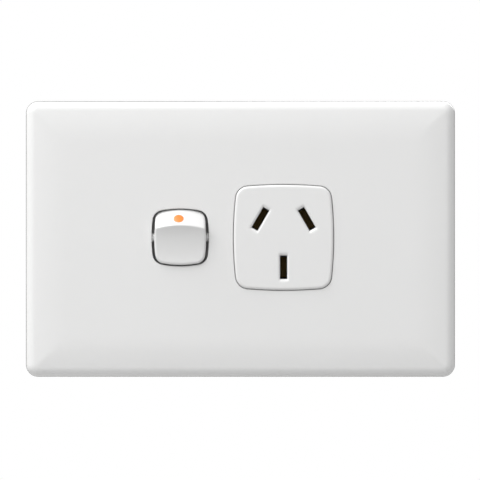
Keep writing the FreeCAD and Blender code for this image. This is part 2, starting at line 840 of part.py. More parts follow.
def add_strip_rest(body):
    """The rib that carries the middle of the active contact's strip."""
    rest = front_sketch(body, level=BASE_BACK)
    draw_box(rest, S.strip_rest_width, S.tail_width, S.rocker_x + S.strip_rest_offset, TIP_Z)
    pad(body, rest, S.strip_level - S.strip_thickness + BASE_BACK, back=True)


# Rear case

def make_case():
    body = new_body("rear_case")
    outside = front_sketch(body, CASE_X, CASE_Z, BASE_BACK)
    draw_rounded_box(outside, CASE_WIDTH, CASE_HEIGHT, S.case_corner)
    pad(body, outside, S.case_reach + BASE_BACK, back=True)
    soften(body, S.case_edge_round, lambda edge: lies_on(edge, "Y", S.case_reach.value))
    inside = front_sketch(body, CASE_X, CASE_Z, BASE_BACK)
    draw_rounded_box(inside, CASE_WIDTH - 2 * S.case_wall, CASE_HEIGHT - 2 * S.case_wall,
                     S.case_corner - S.case_wall)
    cut(body, inside, CASE_FLOOR + BASE_BACK)
    add_barriers(body)
    add_case_bosses(body)
    cut_terminal_openings(body)


def add_barriers(body):
    """Walls on the floor that part the terminals from each other and from the switch."""
    length = CASE_FLOOR - S.strip_level - S.barrier_gap
    level = -CASE_FLOOR
    high = CASE_Z + (CASE_HEIGHT - S.case_wall) / 2
    low = CASE_Z - (CASE_HEIGHT - S.case_wall) / 2
    for x, side in ((TERMINAL_LEFT, 1), (TERMINAL_RIGHT, -1)):
        wall_x = x + side * (S.terminal_width / 2 + S.barrier_gap + S.barrier_wall / 2)
        edge = CASE_X - side * (CASE_WIDTH - S.case_wall) / 2
        wall = front_sketch(body, level=level)
        draw_box(wall, S.barrier_wall, high - low, wall_x, (high + low) / 2)
        pad(body, wall, length)
        shelf = front_sketch(body, level=level)
        draw_box(shelf, side * (wall_x - edge), S.barrier_wall, (wall_x + edge) / 2,
                 (TERMINAL_TOP + TERMINAL_BOTTOM) / 2)
        pad(body, shelf, length)


def add_case_bosses(body):
    bosses = front_sketch(body, level=-CASE_FLOOR)
    for x, z in POST_SPOTS:
        draw_circle(bosses, S.post_radius, x, z)
    pad(body, bosses, CASE_FLOOR - S.post_reach)
    holes = front_sketch(body, level=-S.post_reach)
    sinks = front_sketch(body, level=-S.case_reach)
    for x, z in POST_SPOTS:
        draw_circle(holes, S.case_screw_radius + S.case_screw_pass, x, z)
        draw_circle(sinks, S.case_head_radius + S.head_fit, x, z)
    cut(body, holes, S.case_reach - S.post_reach)
    cut(body, sinks, S.case_head_height + S.head_fit, ahead=True)


def cut_terminal_openings(body):
    drivers = front_sketch(body, level=-CASE_FLOOR)
    for x, z in TERMINALS.values():
        draw_circle(drivers, S.terminal_head_radius + S.head_fit, x, z)
    cut(body, drivers, S.case_wall + PAST)
    for end in (-1, 1):
        entries = plan_sketch(body, z=CASE_Z + end * CASE_HEIGHT / 2)
        for x in (TERMINAL_LEFT, TERMINAL_RIGHT):
            draw_circle(entries, S.wire_entry_radius, x, BORE_Y)
        cut(body, entries, S.case_wall + S.case_end_play / 2, ahead=end < 0)


# Rocker and what rides on it

FOOT_LEVEL = S.pivot_sink + S.rocker_foot_proud
FOOT_RISE = -root(S.rocker_reach * S.rocker_reach - FOOT_LEVEL * FOOT_LEVEL)
TOP_LEVEL = S.pivot_sink - S.rocker_top_sunk
TOP_RISE = root(S.rocker_reach * S.rocker_reach - TOP_LEVEL * TOP_LEVEL)
HOLLOW_LEVEL = FOOT_LEVEL + S.scoop_radius * (1 - cosine(S.scoop_turn))
HOLLOW_RISE = FOOT_RISE + S.scoop_radius * sine(S.scoop_turn)
RIDGE_LEVEL = HOLLOW_LEVEL + S.ridge_hollow_radius * (
    cosine(S.scoop_turn) - cosine(S.ridge_hollow_turn))
RIDGE_RISE = HOLLOW_RISE + S.ridge_hollow_radius * (
    sine(S.ridge_hollow_turn) - sine(S.scoop_turn))
FACET_SLOPE = (RIDGE_LEVEL - TOP_LEVEL) / (TOP_RISE - RIDGE_RISE)
FACET_LEAN = arc_angle(RIDGE_LEVEL - TOP_LEVEL, TOP_RISE - RIDGE_RISE)
DOT_LEVEL = TOP_LEVEL + (TOP_RISE - S.dot_rise) * FACET_SLOPE


def cut_rocker_front(body):
    """Cuts away what is in front of the finger scoop, the hollow under the ridge and the facet."""
    far = S.rocker_reach + 2 * PAST
    front = side_sketch(body)
    draw(front, [
        (-FOOT_LEVEL, -far), (-FOOT_LEVEL, FOOT_RISE, S.scoop_radius),
        (-HOLLOW_LEVEL, HOLLOW_RISE, S.ridge_hollow_radius), (-RIDGE_LEVEL, RIDGE_RISE),
        (-TOP_LEVEL, TOP_RISE), (-TOP_LEVEL, far), (-far, far), (-far, -far)])
    cut(body, front, S.rocker_width + 2 * PAST, both=True)


def make_rocker():
    """A block turned about the pivot, hollowed from behind and sculpted in front."""
    body = new_body("rocker", (S.rocker_x, -PIVOT_LEVEL, S.mechanism_rise))
    half = plan_sketch(body)
    draw_half_bulged_box(half, S.rocker_width, S.rocker_reach, S.switch_side_radius,
                         S.switch_end_radius, S.rocker_corner)
    revolve(body, half, "H_Axis")
    back = side_sketch(body)
    draw_box(back, 2 * S.rocker_reach, 3 * S.rocker_reach, S.rocker_back + S.rocker_reach)
    cut(body, back, S.rocker_width + 2 * PAST, both=True)
    hollow_rocker(body)
    add_trunnions(body)
    add_plunger_tube(body)
    cut_rocker_front(body)
    cut_facet_barrel(body)
    cut_dot_seat(body)


def cut_facet_barrel(body):
    """The upper facet is a barrel across the rocker, so the ridge falls at its two ends."""
    over = S.rocker_width / 2 + PAST
    drop = S.facet_barrel - root(S.facet_barrel * S.facet_barrel - over * over)
    barrel = plan_sketch(body, y=-DOT_LEVEL, z=S.dot_rise, turn=-FACET_LEAN, about=ALONG_X)
    draw(barrel, [(-over, drop, S.facet_barrel), (over, drop), (over, -over), (-over, -over)])
    cut(body, barrel, 3 * S.rocker_reach, both=True)


def hollow_rocker(body):
    """Follows the front at one wall's depth, and is open to the back."""
    wall = S.rocker_wall
    facet_wall = wall / cosine(FACET_LEAN)
    open_back = S.rocker_back + PAST
    inner = side_sketch(body)
    draw(inner, [
        (open_back, FOOT_RISE + wall), (wall - FOOT_LEVEL, FOOT_RISE + wall),
        (wall - HOLLOW_LEVEL, HOLLOW_RISE), (facet_wall - RIDGE_LEVEL, RIDGE_RISE),
        (facet_wall - TOP_LEVEL - wall * FACET_SLOPE, TOP_RISE - wall),
        (open_back, TOP_RISE - wall)])
    cut(body, inner, S.rocker_width - 2 * wall, both=True)


def add_trunnions(body):
    for side in (-1, 1):
        pin = side_sketch(body, side * (S.rocker_width / 2 - S.rocker_wall))
        draw_circle(pin, S.trunnion_radius)
        pad(body, pin, S.rocker_wall + S.trunnion_length, back=side < 0)


def add_plunger_tube(body):
    """The tube leans with the rocker's own middle line, half the travel away from upright."""
    radius = S.plunger_radius + S.plunger_fit
    tube = tube_sketch(body, S.plunger_tube_front)
    draw_circle(tube, radius + S.plunger_tube_wall)
    pad(body, tube, S.plunger_tube_front + S.plunger_tube_back, back=True)
    bore = tube_sketch(body, S.plunger_bore_front)
    draw_circle(bore, radius)
    cut(body, bore, S.plunger_bore_front + S.plunger_tube_back + PAST)


def tube_sketch(body, ahead):
    """A sketch across the tube's axis, so far ahead of the pivot."""
    return front_sketch(body, z=-ahead * sine(REST_ROCK), level=ahead * cosine(REST_ROCK),
                        turn=REST_ROCK, about=ALONG_X)


def facet_sketch(body):
    """A sketch on the facet at the dot, facing along the facet's normal."""
    return front_sketch(body, x=-S.dot_shift, z=S.dot_rise, level=DOT_LEVEL, turn=-FACET_LEAN,
                        about=ALONG_X)


def cut_dot_seat(body):
    seat = facet_sketch(body)
    draw_circle(seat, S.dot_radius + S.dot_clearance)
    cut(body, seat, S.dot_depth)


def make_dot():
    body = new_body("rocker_dot", (S.rocker_x, -PIVOT_LEVEL, S.mechanism_rise))
    disc = facet_sketch(body)
    draw_circle(disc, S.dot_radius)
    pad(body, disc, S.dot_depth, back=True)


def make_plunger():
    """A turned pin; its own y runs along the pin, away from the pivot."""
    body = new_body("plunger", (S.rocker_x, -PIVOT_LEVEL, S.mechanism_rise), REST_ROCK)
    centre = S.plunger_reach - S.plunger_tip_radius
    neck = centre - S.plunger_tip_radius
    profile = plan_sketch(body)
    draw(profile, [
        (0, S.plunger_seat), (S.plunger_radius, S.plunger_seat), (S.plunger_radius, neck),
        (S.plunger_tip_radius, centre, S.plunger_tip_radius), (0, S.plunger_reach)])
    revolve(body, profile, "V_Axis")


def make_spring():
    """A coil of round wire between the bottom of the tube and the plunger's end."""
    radius = S.plunger_radius + S.plunger_fit - S.spring_fit - S.spring_wire / 2
    length = S.plunger_bore_front + S.plunger_seat - S.spring_wire - 2 * S.spring_fit
    coil = doc.addObject("Part::Helix", "spring_coil")
    bind(coil, "Radius", radius)
    bind(coil, "Height", length)
    bind(coil, "Pitch", length / S.spring_turns)
    wire = doc.addObject("Part::Circle", "spring_wire_section")
    bind(wire, "Radius", S.spring_wire / 2)
    wire.Placement = FreeCAD.Placement(Vector(radius.value, 0, 0), Rotation(ALONG_X, 90))
    bind(wire, "Placement.Base.x", radius)
    doc.recompute()
    spring = doc.addObject("Part::Sweep", "plunger_spring")
    spring.Sections = [wire]
    spring.Spine = (coil, [])
    spring.Solid = True
    spring.Frenet = True
    start = S.spring_fit + S.spring_wire / 2 - S.plunger_bore_front
    y = start * cosine(REST_ROCK) - PIVOT_LEVEL
    z = start * sine(REST_ROCK) + S.mechanism_rise
    spring.Placement = FreeCAD.Placement(Vector(S.rocker_x.value, y.value, z.value),
                                         Rotation(ALONG_X, REST_ROCK.value - 90))
    for axis, size in (("x", S.rocker_x), ("y", y), ("z", z)):
        bind(spring, "Placement.Base." + axis, size)
    bind(spring, "Placement.Rotation.Angle", REST_ROCK - 90)
    doc.recompute()


# See-saw contact

def make_arm():
    """The see-saw strip; its own origin is on the bearing axis."""
    body = new_body("contact_arm", (S.rocker_x, ARM_PIVOT_Y, S.mechanism_rise), REST_ARM)
    groove = S.arm_bearing + S.arm_bearing_fit
    lip = root(groove * groove - S.arm_bearing_offset * S.arm_bearing_offset)
    back, face, end = -S.arm_bearing_offset, -ARM_FACE, S.arm_half_length
    profile = side_sketch(body)
    draw(profile, [
        (face, -end), (back, -end), (back, -lip, -groove), (back, lip), (back, end), (face, end)])
    pad(body, profile, S.arm_width, both=True)
    bevel(body, S.arm_thickness / 3, is_arm_end)


def is_arm_end(edge):
    point = edge.CenterOfMass
    local = doc.getObject("contact_arm").Placement.inverse().multVec(point)
    ends = abs(abs(local.z) - S.arm_half_length.value) < 0.01
    return ends and abs(abs(local.x) - S.arm_width.value / 2) < 0.01


def make_arm_tip():
    body = new_body("contact_arm_tip", (S.rocker_x, ARM_PIVOT_Y, S.mechanism_rise), REST_ARM)
    disc = front_sketch(body, z=S.tip_reach, level=S.arm_bearing_offset)
    draw_circle(disc, S.tip_radius)
    pad(body, disc, S.tip_height, back=True)


# Where the arm's tip lies with the contacts closed, at the far end of its travel
TIP_FACE = S.tip_height - S.arm_bearing_offset
TIP_Y = ARM_PIVOT_Y + S.tip_reach * sine(HALF_ARM) + TIP_FACE * cosine(HALF_ARM)
TIP_Z = S.mechanism_rise + S.tip_reach * cosine(HALF_ARM) - TIP_FACE * sine(HALF_ARM)
DOME_Y = TIP_Y + (S.tip_dome + S.tip_gap) / cosine(HALF_ARM)
DOME_FRONT = DOME_Y - S.tip_dome
FIXED_STRIP_Y = DOME_FRONT + S.fixed_strip_step


def make_fixed_tip():
    body = new_body("fixed_contact_tip", (S.rocker_x, DOME_Y, TIP_Z))
    edge = -root(S.tip_dome * S.tip_dome - S.tip_radius * S.tip_radius)
    profile = plan_sketch(body)
    draw(profile, [
        (0, -S.tip_dome, S.tip_dome), (S.tip_radius, edge),
        (S.tip_radius, FIXED_STRIP_Y - DOME_Y), (0, FIXED_STRIP_Y - DOME_Y)])
    revolve(body, profile, "V_Axis")


# Brass work

def add_pin_clip(body, slot):
    """A sprung fork for one pin: flared mouth, pinch, and a flat bottom on the strip level."""
    x, z, lean = slot
    thick = S.strip_thickness
    mouth, pinch, gap = S.clip_mouth, S.clip_pinch, S.clip_half_gap
    front, narrow = -S.clip_mouth_level, -S.clip_pinch_level
    right = [
        (gap + thick, S.strip_level), (gap + thick, 0), (pinch + thick, narrow),
        (mouth + thick, front), (mouth, front), (pinch, narrow), (gap, 0),
        (gap, S.strip_level - thick)]
    left = [(-point[0], point[1]) for point in reversed(right)]
    fork = plan_sketch(body, x=x, z=z, turn=lean, about=ALONG_Y)
    draw(fork, right + left)
    pad(body, fork, S.pin_clip_width, both=True)


def make_active_contact():
    body = new_body("active_contact")
    slot = PIN_SLOTS["active"]
    add_pin_clip(body, slot)
    thick = S.strip_thickness
    back, front = S.strip_level, S.strip_level - thick
    step_back, step_front = FIXED_STRIP_Y + thick, FIXED_STRIP_Y
    right = slot[0] + S.clip_half_gap
    bend = S.rocker_x + S.arm_width + S.strip_arm_gap
    left = S.rocker_x - S.tip_radius - S.strip_overhang
    strip = plan_sketch(body, z=TIP_Z)
    draw(strip, [
        (right, back), (bend, back), (bend, step_back), (left, step_back), (left, step_front),
        (bend + thick, step_front), (bend + thick, front), (right, front)])
    pad(body, strip, S.tail_width, both=True)


def make_neutral_contact():
    body = new_body("neutral_contact")
    slot = PIN_SLOTS["neutral"]
    add_pin_clip(body, slot)
    x, z = TERMINALS["neutral"]
    half = S.tail_width / 2
    reach = S.terminal_width / 2 - S.tail_margin
    near, far = x - reach, x + reach
    left = slot[0] - S.clip_half_gap
    top = z + S.terminal_height / 2 - S.tail_margin
    tail = front_sketch(body, level=-S.strip_level)
    draw(tail, [
        (left, slot[1] - half), (far, slot[1] - half), (far, top), (near, top),
        (near, slot[1] + half), (left, slot[1] + half)])
    pad(body, tail, S.strip_thickness)


def make_earth_contact():
    body = new_body("earth_contact")
    slot = PIN_SLOTS["earth"]
    add_pin_clip(body, slot)
    x = TERMINALS["earth"][0]
    left = slot[0] - S.clip_half_gap
    far = x + S.terminal_width / 2 - S.tail_margin
    tail = front_sketch(body, level=-S.strip_level)
    draw_box(tail, far - left, S.tail_width, (far + left) / 2, slot[1])
    pad(body, tail, S.strip_thickness)


def make_saddle():
    body = new_body("arm_saddle")
    x, z = TERMINALS["active"]
    reach = S.terminal_width / 2 - S.tail_margin
    left, near = x - reach, x + reach
    wide = S.arm_width / 2 + S.ear_gap + S.strip_thickness
    right = S.rocker_x + wide
    top = z + S.terminal_height / 2 - S.tail_margin
    low, high = S.mechanism_rise - S.tail_width / 2, S.mechanism_rise + S.tail_width / 2
    plate = front_sketch(body, level=-S.strip_level)
    draw(plate, [(left, low), (right, low), (right, high), (near, high), (near, top), (left, top)])
    pad(body, plate, S.strip_thickness)
    blade = side_sketch(body, S.rocker_x, 0, S.mechanism_rise)
    edge, foot = S.arm_bearing, S.strip_level - S.strip_thickness / 2
    draw(blade, [
        (foot, edge), (ARM_PIVOT_Y, edge, HALF_ROUND), (ARM_PIVOT_Y, -edge), (foot, -edge)])
    pad(body, blade, 2 * wide, both=True)
    for side in (-1, 1):
        ear = side_sketch(body, S.rocker_x + side * (wide - S.strip_thickness / 2), 0,
                          S.mechanism_rise)
        front = ARM_PIVOT_Y - S.ear_rise
        draw(ear, [(front, -S.ear_half), (foot, -S.ear_half), (foot, S.ear_half),
                   (front, S.ear_half)])
        pad(body, ear, S.strip_thickness, both=True)


# Terminals and their screws

def make_terminal(name):
    x, z = TERMINALS[name]
    body = new_body(name + "_terminal", (x, 0, z))
    back = CASE_FLOOR - S.terminal_seat
    block = front_sketch(body, level=-S.strip_level)
    draw_box(block, S.terminal_width, S.terminal_height)
    pad(body, block, back - S.strip_level, back=True)
    bore = plan_sketch(body, y=BORE_Y)
    draw_circle(bore, S.wire_bore_radius)
    cut(body, bore, S.terminal_height + 2 * PAST, both=True)
    thread = front_sketch(body, level=-back)
    draw_circle(thread, S.terminal_screw_radius + S.terminal_screw_fit)
    cut(body, thread, back - BORE_Y, ahead=True)


def turned_screw(name, spot, profile):
    body = new_body(name, spot)
    sketch = plan_sketch(body)
    draw(sketch, profile)
    revolve(body, sketch, "V_Axis")
    return body


def cut_driver_slot(body, level, width, depth, length, ahead):
    slot = front_sketch(body, level=level)
    draw_box(slot, length, width)
    cut(body, slot, depth, ahead=ahead)


def make_terminal_screw(name):
    x, z = TERMINALS[name]
    tip = BORE_Y + S.wire_bore_radius + S.terminal_screw_stop
    under = CASE_FLOOR - S.terminal_seat + S.terminal_head_lift
    top = under + S.terminal_head_height
    bevelled = S.terminal_screw_radius - S.screw_bevel
    body = turned_screw(name + "_terminal_screw", (x, 0, z), [
        (0, tip), (bevelled, tip), (S.terminal_screw_radius, tip + S.screw_bevel),
        (S.terminal_screw_radius, under), (S.terminal_head_radius, under),
        (S.terminal_head_radius, top), (0, top)])
    cut_driver_slot(body, -top, S.terminal_drive_width, S.terminal_drive_depth,
                    3 * S.terminal_head_radius, True)


def make_case_screw(number, spot):
    tip = S.post_reach - S.case_screw_bite
    under = S.case_reach - S.case_head_height - S.head_fit
    top = under + S.case_head_height
    body = turned_screw("case_screw_%d" % number, (spot[0], 0, spot[1]), [
        (0, tip), (S.case_screw_radius - S.screw_bevel, tip),
        (S.case_screw_radius, tip + S.case_screw_point),
        (S.case_screw_radius, under), (S.case_head_radius, under), (S.case_head_radius, top),
        (0, top)])
    cut_driver_slot(body, -top, S.case_drive_width, S.case_drive_depth,
                    3 * S.case_head_radius, True)


def make_mount_screw(name, side):
    seat = -S.base_thickness
    tip = S.mount_screw_reach
    top = seat - S.mount_head_height
    body = turned_screw(name + "_mounting_screw", (side * S.mount_pitch / 2, 0, 0), [
        (0, top), (S.mount_head_radius - S.mount_head_bevel_width, top),
        (S.mount_head_radius, top + S.mount_head_bevel_height), (S.mount_head_radius, seat),
        (S.mount_neck_radius, seat), (S.mount_neck_radius, S.cover_lift),
        (S.mount_screw_radius, S.cover_lift), (S.mount_screw_radius, tip - S.mount_point_length),
        (S.mount_screw_radius - S.mount_point_width, tip), (0, tip)])
    cut_driver_slot(body, -top, S.mount_drive_width, S.mount_drive_depth,
                    3 * S.mount_head_radius, False)


def make_all():
    make_sheet()
    make_cover()
    make_base()
    make_case()
    make_rocker()
    make_dot()
    make_plunger()
    make_spring()
    make_arm()
    make_arm_tip()
    make_fixed_tip()
    make_active_contact()
    make_neutral_contact()
    make_earth_contact()
    make_saddle()
    for name in TERMINALS:
        make_terminal(name)
        make_terminal_screw(name)
    for number, spot in enumerate(POST_SPOTS, 1):
        make_case_screw(number, spot)
    make_mount_screw("left", -1)
    make_mount_screw("right", 1)
    doc.recompute()


def sub_parts():
    bodies = [item for item in doc.Objects if item.TypeId == "PartDesign::Body"]
    return bodies + [doc.getObject("plunger_spring")]


def check_and_write():
    for item in doc.Objects:
        if "Invalid" in item.State or "Error" in item.State:
            raise RuntimeError("%s is in state %s" % (item.Label, item.State))
    for item in sub_parts():
        if item.Shape.isNull() or not item.Shape.isValid():
            raise RuntimeError("%s has no valid shape" % item.Label)
    os.makedirs("parts", exist_ok=True)
    for item in sub_parts():
        item.Shape.exportStep("parts/%s.step" % item.Label)


make_all()
check_and_write()
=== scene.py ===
"""Looks of a switched socket outlet: moulded cover, dolly and mark, springs and screws, and every finish."""

import json
import math

import bmesh
import bpy
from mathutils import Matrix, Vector


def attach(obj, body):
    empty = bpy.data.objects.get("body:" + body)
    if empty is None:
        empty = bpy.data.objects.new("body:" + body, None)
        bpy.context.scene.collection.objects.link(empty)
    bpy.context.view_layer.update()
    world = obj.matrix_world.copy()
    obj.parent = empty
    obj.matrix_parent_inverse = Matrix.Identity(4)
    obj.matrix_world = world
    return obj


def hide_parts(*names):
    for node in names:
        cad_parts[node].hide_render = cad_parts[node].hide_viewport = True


MM = 0.001
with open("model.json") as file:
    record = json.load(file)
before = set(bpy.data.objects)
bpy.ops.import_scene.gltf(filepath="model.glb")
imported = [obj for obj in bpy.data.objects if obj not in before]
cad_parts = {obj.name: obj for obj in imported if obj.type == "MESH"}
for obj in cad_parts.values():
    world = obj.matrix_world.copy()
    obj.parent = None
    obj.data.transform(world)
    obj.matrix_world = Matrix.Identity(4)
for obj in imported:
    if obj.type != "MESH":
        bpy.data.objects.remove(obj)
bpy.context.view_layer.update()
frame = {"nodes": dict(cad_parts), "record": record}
NODES = frame["nodes"]

# Sizes in millimetres, as on the solids. A bulged box has four sides that are shallow arcs.
PLATE = dict(width=127.0, height=81.6, corner=3.6, depth=10.5, lift=0.2, draft=1.5,
             side_wall=2.0, face_wall=2.2, crown_run=12.0, crown_radius=68.0, edge_round=3.0)
SOCKET = dict(x=12.75, z=0.45, width=29.8, height=31.4, side=110.0, end=128.0, corner=3.9)
SWITCH = dict(x=-17.8, z=0.45, width=16.9, height=17.0, side=43.0, end=30.0, corner=3.2)
LIP_ROUND = 0.3
FLAT_BAND = 0.3
SWITCH_LIP = 0.6
RELIEF = dict(width=22.4, height=19.0, corner=0.5)
LEAST_CORNER = 0.9
SIDE_STATIONS = (0.0, 0.05, 0.5, 0.97)
ROUND_STEPS, CROWN_STEPS = 16, 24

# The dolly turns about a line behind the face; levels are heights over it, towards the viewer
PIVOT_SINK = 2.2
PIVOT_Y = PIVOT_SINK - PLATE["depth"]
DOLLY = dict(width=15.5, reach=8.45, side=43.0, end=30.0, corner=2.7)
RIM_LEVEL, SKIRT_LEVEL = -2.49, -1.2
FLANK_LEVELS = (0.0, 0.5)
FOOT_LEVEL = 3.2
FOOT_RADIUS, FOOT_TURN = 30.0, 15.0
NECK_RADIUS, NECK_TURN, NECK_LIMIT = 12.6, 33.3, 75.0
TOP_LEVEL = 1.6
BARREL_RADIUS = 24.0
RIDGE_SOFTNESS = 0.12
DOLLY_EDGE = 0.75
DOLLY_WALL, CEILING_WALL = 1.5, 1.8
CEILING_STEPS, EDGE_STEPS, FRONT_STEPS = 12, 8, 46
QUARTER_STEPS = 24
DOLLY_SIDES, TRUNNION_SIDES, TUBE_SIDES, DOT_SIDES = 192, 40, 48, 64
BEYOND_DOLLY, HALVINGS = 12.0, 30
TRUNNION = dict(radius=1.3, start=7.0, end=9.5, bevel=0.2)
LEAN = math.radians(8.0)
TUBE = dict(outer=2.5, bore=1.6, front=3.0, bore_front=2.6, back=4.6, bevel=0.2, mouth=0.15)
DOT = dict(radius=1.5, rise=5.55, shift=-0.45, depth=0.45, proud=0.06, dome=0.04)
DOT_RIM = ((0.0, 0.0), (0.02, 0.03), (0.07, 0.05))
DOT_SHARES = (0.9, 0.7, 0.45, 0.2)
SPRING = dict(radius=1.2, wire=0.25, start=2.2, length=4.8, turns=6.0, closed=0.16)
COIL_STEPS, WIRE_SIDES = 220, 12

FACE = dict(x=12.75, z=0.45, width=29.5, height=31.1, side=110.0, end=128.0, corner=3.75)
FACE_LEVEL = 11.1
FACE_ROUND = 0.8
FACE_STEPS, FACE_ROW_STEPS = 8, 14
SLOTS = [(5.89, 5.91, 30.0), (19.61, 5.91, -30.0), (12.75, -8.36, 0.0)]
SLOT_HALF_WIDTH, SLOT_HALF_LENGTH, SLOT_CORNER = 1.025, 3.45, 0.12
LEAD_IN = dict(side=0.72, end=1.15, corner=0.75, depth=0.9)
LEAD_IN_STEPS = 10
CUT_MARGIN = 0.05

# Screws: a shank of radius and depth pairs from its tip, a head, a thread and a driver slot
TERMINAL_SCREW = dict(
    shank=[(0.0, 16.9), (1.2, 16.9), (1.55, 17.25), (1.55, 20.9), (1.95, 20.9), (1.95, 21.3)],
    head=3.0, under=21.3, top=23.3, edge=0.3, core=1.55, ridge=0.38, pitch=0.7, start=17.3, end=20.9,
    slot_width=0.9, slot_depth=1.1)
CASE_SCREW = dict(
    shank=[(0.0, 2.5), (0.35, 2.7), (0.9, 4.1), (0.9, 20.0), (1.15, 20.0), (1.15, 20.9)],
    head=2.4, under=20.9, top=22.7, edge=0.45, core=0.9, ridge=0.24, pitch=0.9, start=3.6, end=19.6,
    slot_width=0.7, slot_depth=0.9)
MOUNTING_SCREW = dict(
    shank=[(0.0, 25.0), (0.95, 25.0), (1.4, 24.5), (1.4, 0.2), (1.5, 0.1), (1.5, -3.0)],
    head=3.5, under=-3.0, top=-5.4, edge=0.7, core=1.4, ridge=0.34, pitch=0.6, start=0.4, end=24.3,
    slot_width=1.0, slot_depth=1.2)
TERMINAL_SPOTS = {"active": (-24.5, 11.0), "loop": (-24.5, -9.0), "neutral": (26.5, 11.0),
                  "earth": (26.5, -9.0)}
CASE_SPOTS = [(-13.0, 14.2), (-13.0, -12.2), (12.75, 14.2), (3.0, -12.2)]
MOUNTING_SPOTS = {"left": (-42.0, 0.0), "right": (42.0, 0.0)}
HEAD_STEPS, SCREW_SIDES = 5, 48
THREAD_STEPS, THREAD_SIDES = 24, 4

# Studio, in metres; the grey flag straight behind the outlet fades in from its edge to its core
AMBIENT = 0.55
FLAG_EDGE, FLAG_CORE, FLAG_SHADE = 0.5, 0.85, 0.85
FLOOR_Z, FLOOR_HALF = -0.12, 0.8
KEY = dict(direction=(-0.47, -0.37, 0.80), distance=1.2, size=1.2, power=17.0)
REAR_FILL = dict(direction=(0.35, 0.8, 0.5), distance=1.3, size=1.0, power=6.0)
CAMERA_DISTANCE = 4.5
SENSOR_WIDTH = 36.0
PICTURE_PIXELS, PLATE_PIXELS = 480, 428.9
VIEW_WIDTH = PICTURE_PIXELS / PLATE_PIXELS * PLATE["width"] * MM
CENTRE_X, CENTRE_Z = -0.13 * MM, -0.31 * MM


# Mesh helpers

def new_piece(name, mesh, node, slot, body="root"):
    """A finished mesh becomes a piece that stands for a solid, with its slot's finish."""
    piece = bpy.data.objects.new(name, mesh)
    bpy.context.scene.collection.objects.link(piece)
    piece.data.materials.clear()
    piece.data.materials.append(FINISHES[slot])
    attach(piece, body)
    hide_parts(node)


def mesh_from(work, name, smooth_angle=40.0):
    """Ends the work on a bmesh: doubles merged, normals outward, smooth but for sharp edges."""
    bmesh.ops.remove_doubles(work, verts=work.verts, dist=1e-7)
    bmesh.ops.recalc_face_normals(work, faces=work.faces)
    limit = math.radians(smooth_angle)
    for face in work.faces:
        face.smooth = True
    for edge in work.edges:
        edge.smooth = edge.calc_face_angle(0.0) < limit
    mesh = bpy.data.meshes.new(name)
    work.to_mesh(mesh)
    work.free()
    return mesh


def add_loop(work, points):
    """A closed row of vertices, from points in millimetres."""
    return [work.verts.new(Vector(point) * MM) for point in points]


def bridge(work, first, second):
    """Quads between two closed rows of as many vertices."""
    count = len(first)
    for index in range(count):
        after = (index + 1) % count
        work.faces.new((first[index], first[after], second[after], second[index]))


def skin(work, rows):
    """Closed rows joined one after the other; the rows come back as vertices."""
    loops = [add_loop(work, row) for row in rows]
    for first, second in zip(loops, loops[1:]):
        bridge(work, first, second)
    return loops


def fill_between(work, loops):
    """Flat triangles between an outer loop and the loops inside it."""
    edges = []
    for loop in loops:
        for index, vertex in enumerate(loop):
            after = loop[(index + 1) % len(loop)]
            edges.append(work.edges.get((vertex, after)) or work.edges.new((vertex, after)))
    bmesh.ops.triangle_fill(work, edges=edges, use_beauty=True)


def full_turn(count, shift=0.0):
    """Evenly spaced angles round a circle."""
    return [2 * math.pi * (index + shift) / count for index in range(count)]


def rounded_row(half_width, half_height, corner, y, straight=10, arc=10):
    """A rounded rectangle facing the viewer, anticlockwise from its right side."""
    points = []
    corners = ((1, 1, 0), (-1, 1, 90), (-1, -1, 180), (1, -1, 270))
    for sign_x, sign_z, start in corners:
        centre_x = sign_x * (half_width - corner)
        centre_z = sign_z * (half_height - corner)
        for step in range(arc + 1):
            turn = math.radians(start + 90.0 * step / arc)
            points.append((centre_x + corner * math.cos(turn), y, centre_z + corner * math.sin(turn)))
    return even_straights(points, arc + 1, straight)


def even_straights(points, group, straight):
    """Adds steps on the four straight runs, which come after each corner's group of points."""
    result = []
    count = len(points)
    for start in range(0, count, group):
        result += points[start:start + group]
        last, after = points[start + group - 1], points[(start + group) % count]
        for step in range(1, straight):
            share = step / straight
            result.append(tuple(a + (b - a) * share for a, b in zip(last, after)))
    return result


def bulged_quarter(width, height, side, end, corner, steps):
    """Points of the first quarter of a box whose four sides are shallow arcs."""
    side_x, end_z = width / 2 - side, height / 2 - end
    reach_side, reach_end = side - corner, end - corner
    span = math.hypot(side_x, end_z)
    along = (span ** 2 + reach_side ** 2 - reach_end ** 2) / (2 * span)
    across = math.sqrt(reach_side ** 2 - along ** 2)
    unit = (-side_x / span, end_z / span)
    options = [(side_x + unit[0] * along + sign * unit[1] * across,
                unit[1] * along - sign * unit[0] * across) for sign in (1, -1)]
    knee = max(options, key=lambda point: point[0] + point[1])
    low = math.atan2(knee[1], knee[0] - side_x)
    high = math.atan2(knee[1] - end_z, knee[0])
    parts = [(side_x, 0.0, side, 0.0, low), (knee[0], knee[1], corner, low, high),
             (0.0, end_z, end, high, math.pi / 2)]
    points = []
    for centre_x, centre_z, radius, start, stop in parts:
        for step in range(steps):
            turn = start + (stop - start) * step / steps
            points.append((centre_x + radius * math.cos(turn), centre_z + radius * math.sin(turn)))
    return points + [(0.0, height / 2)]


def bulged_row(shape, y, inset=0.0, steps=10):
    """A closed row on a bulged box's outline, drawn in by an inset."""
    quarter = bulged_quarter(shape["width"] - 2 * inset, shape["height"] - 2 * inset,
                             shape["side"] - inset, shape["end"] - inset,
                             shape["corner"] - inset, steps)
    half = quarter + [(-x, z) for x, z in reversed(quarter[:-1])]
    outline = half + [(x, -z) for x, z in reversed(half[1:-1])]
    return [(shape["x"] + x, y, shape["z"] + z) for x, z in outline]


# Node helpers

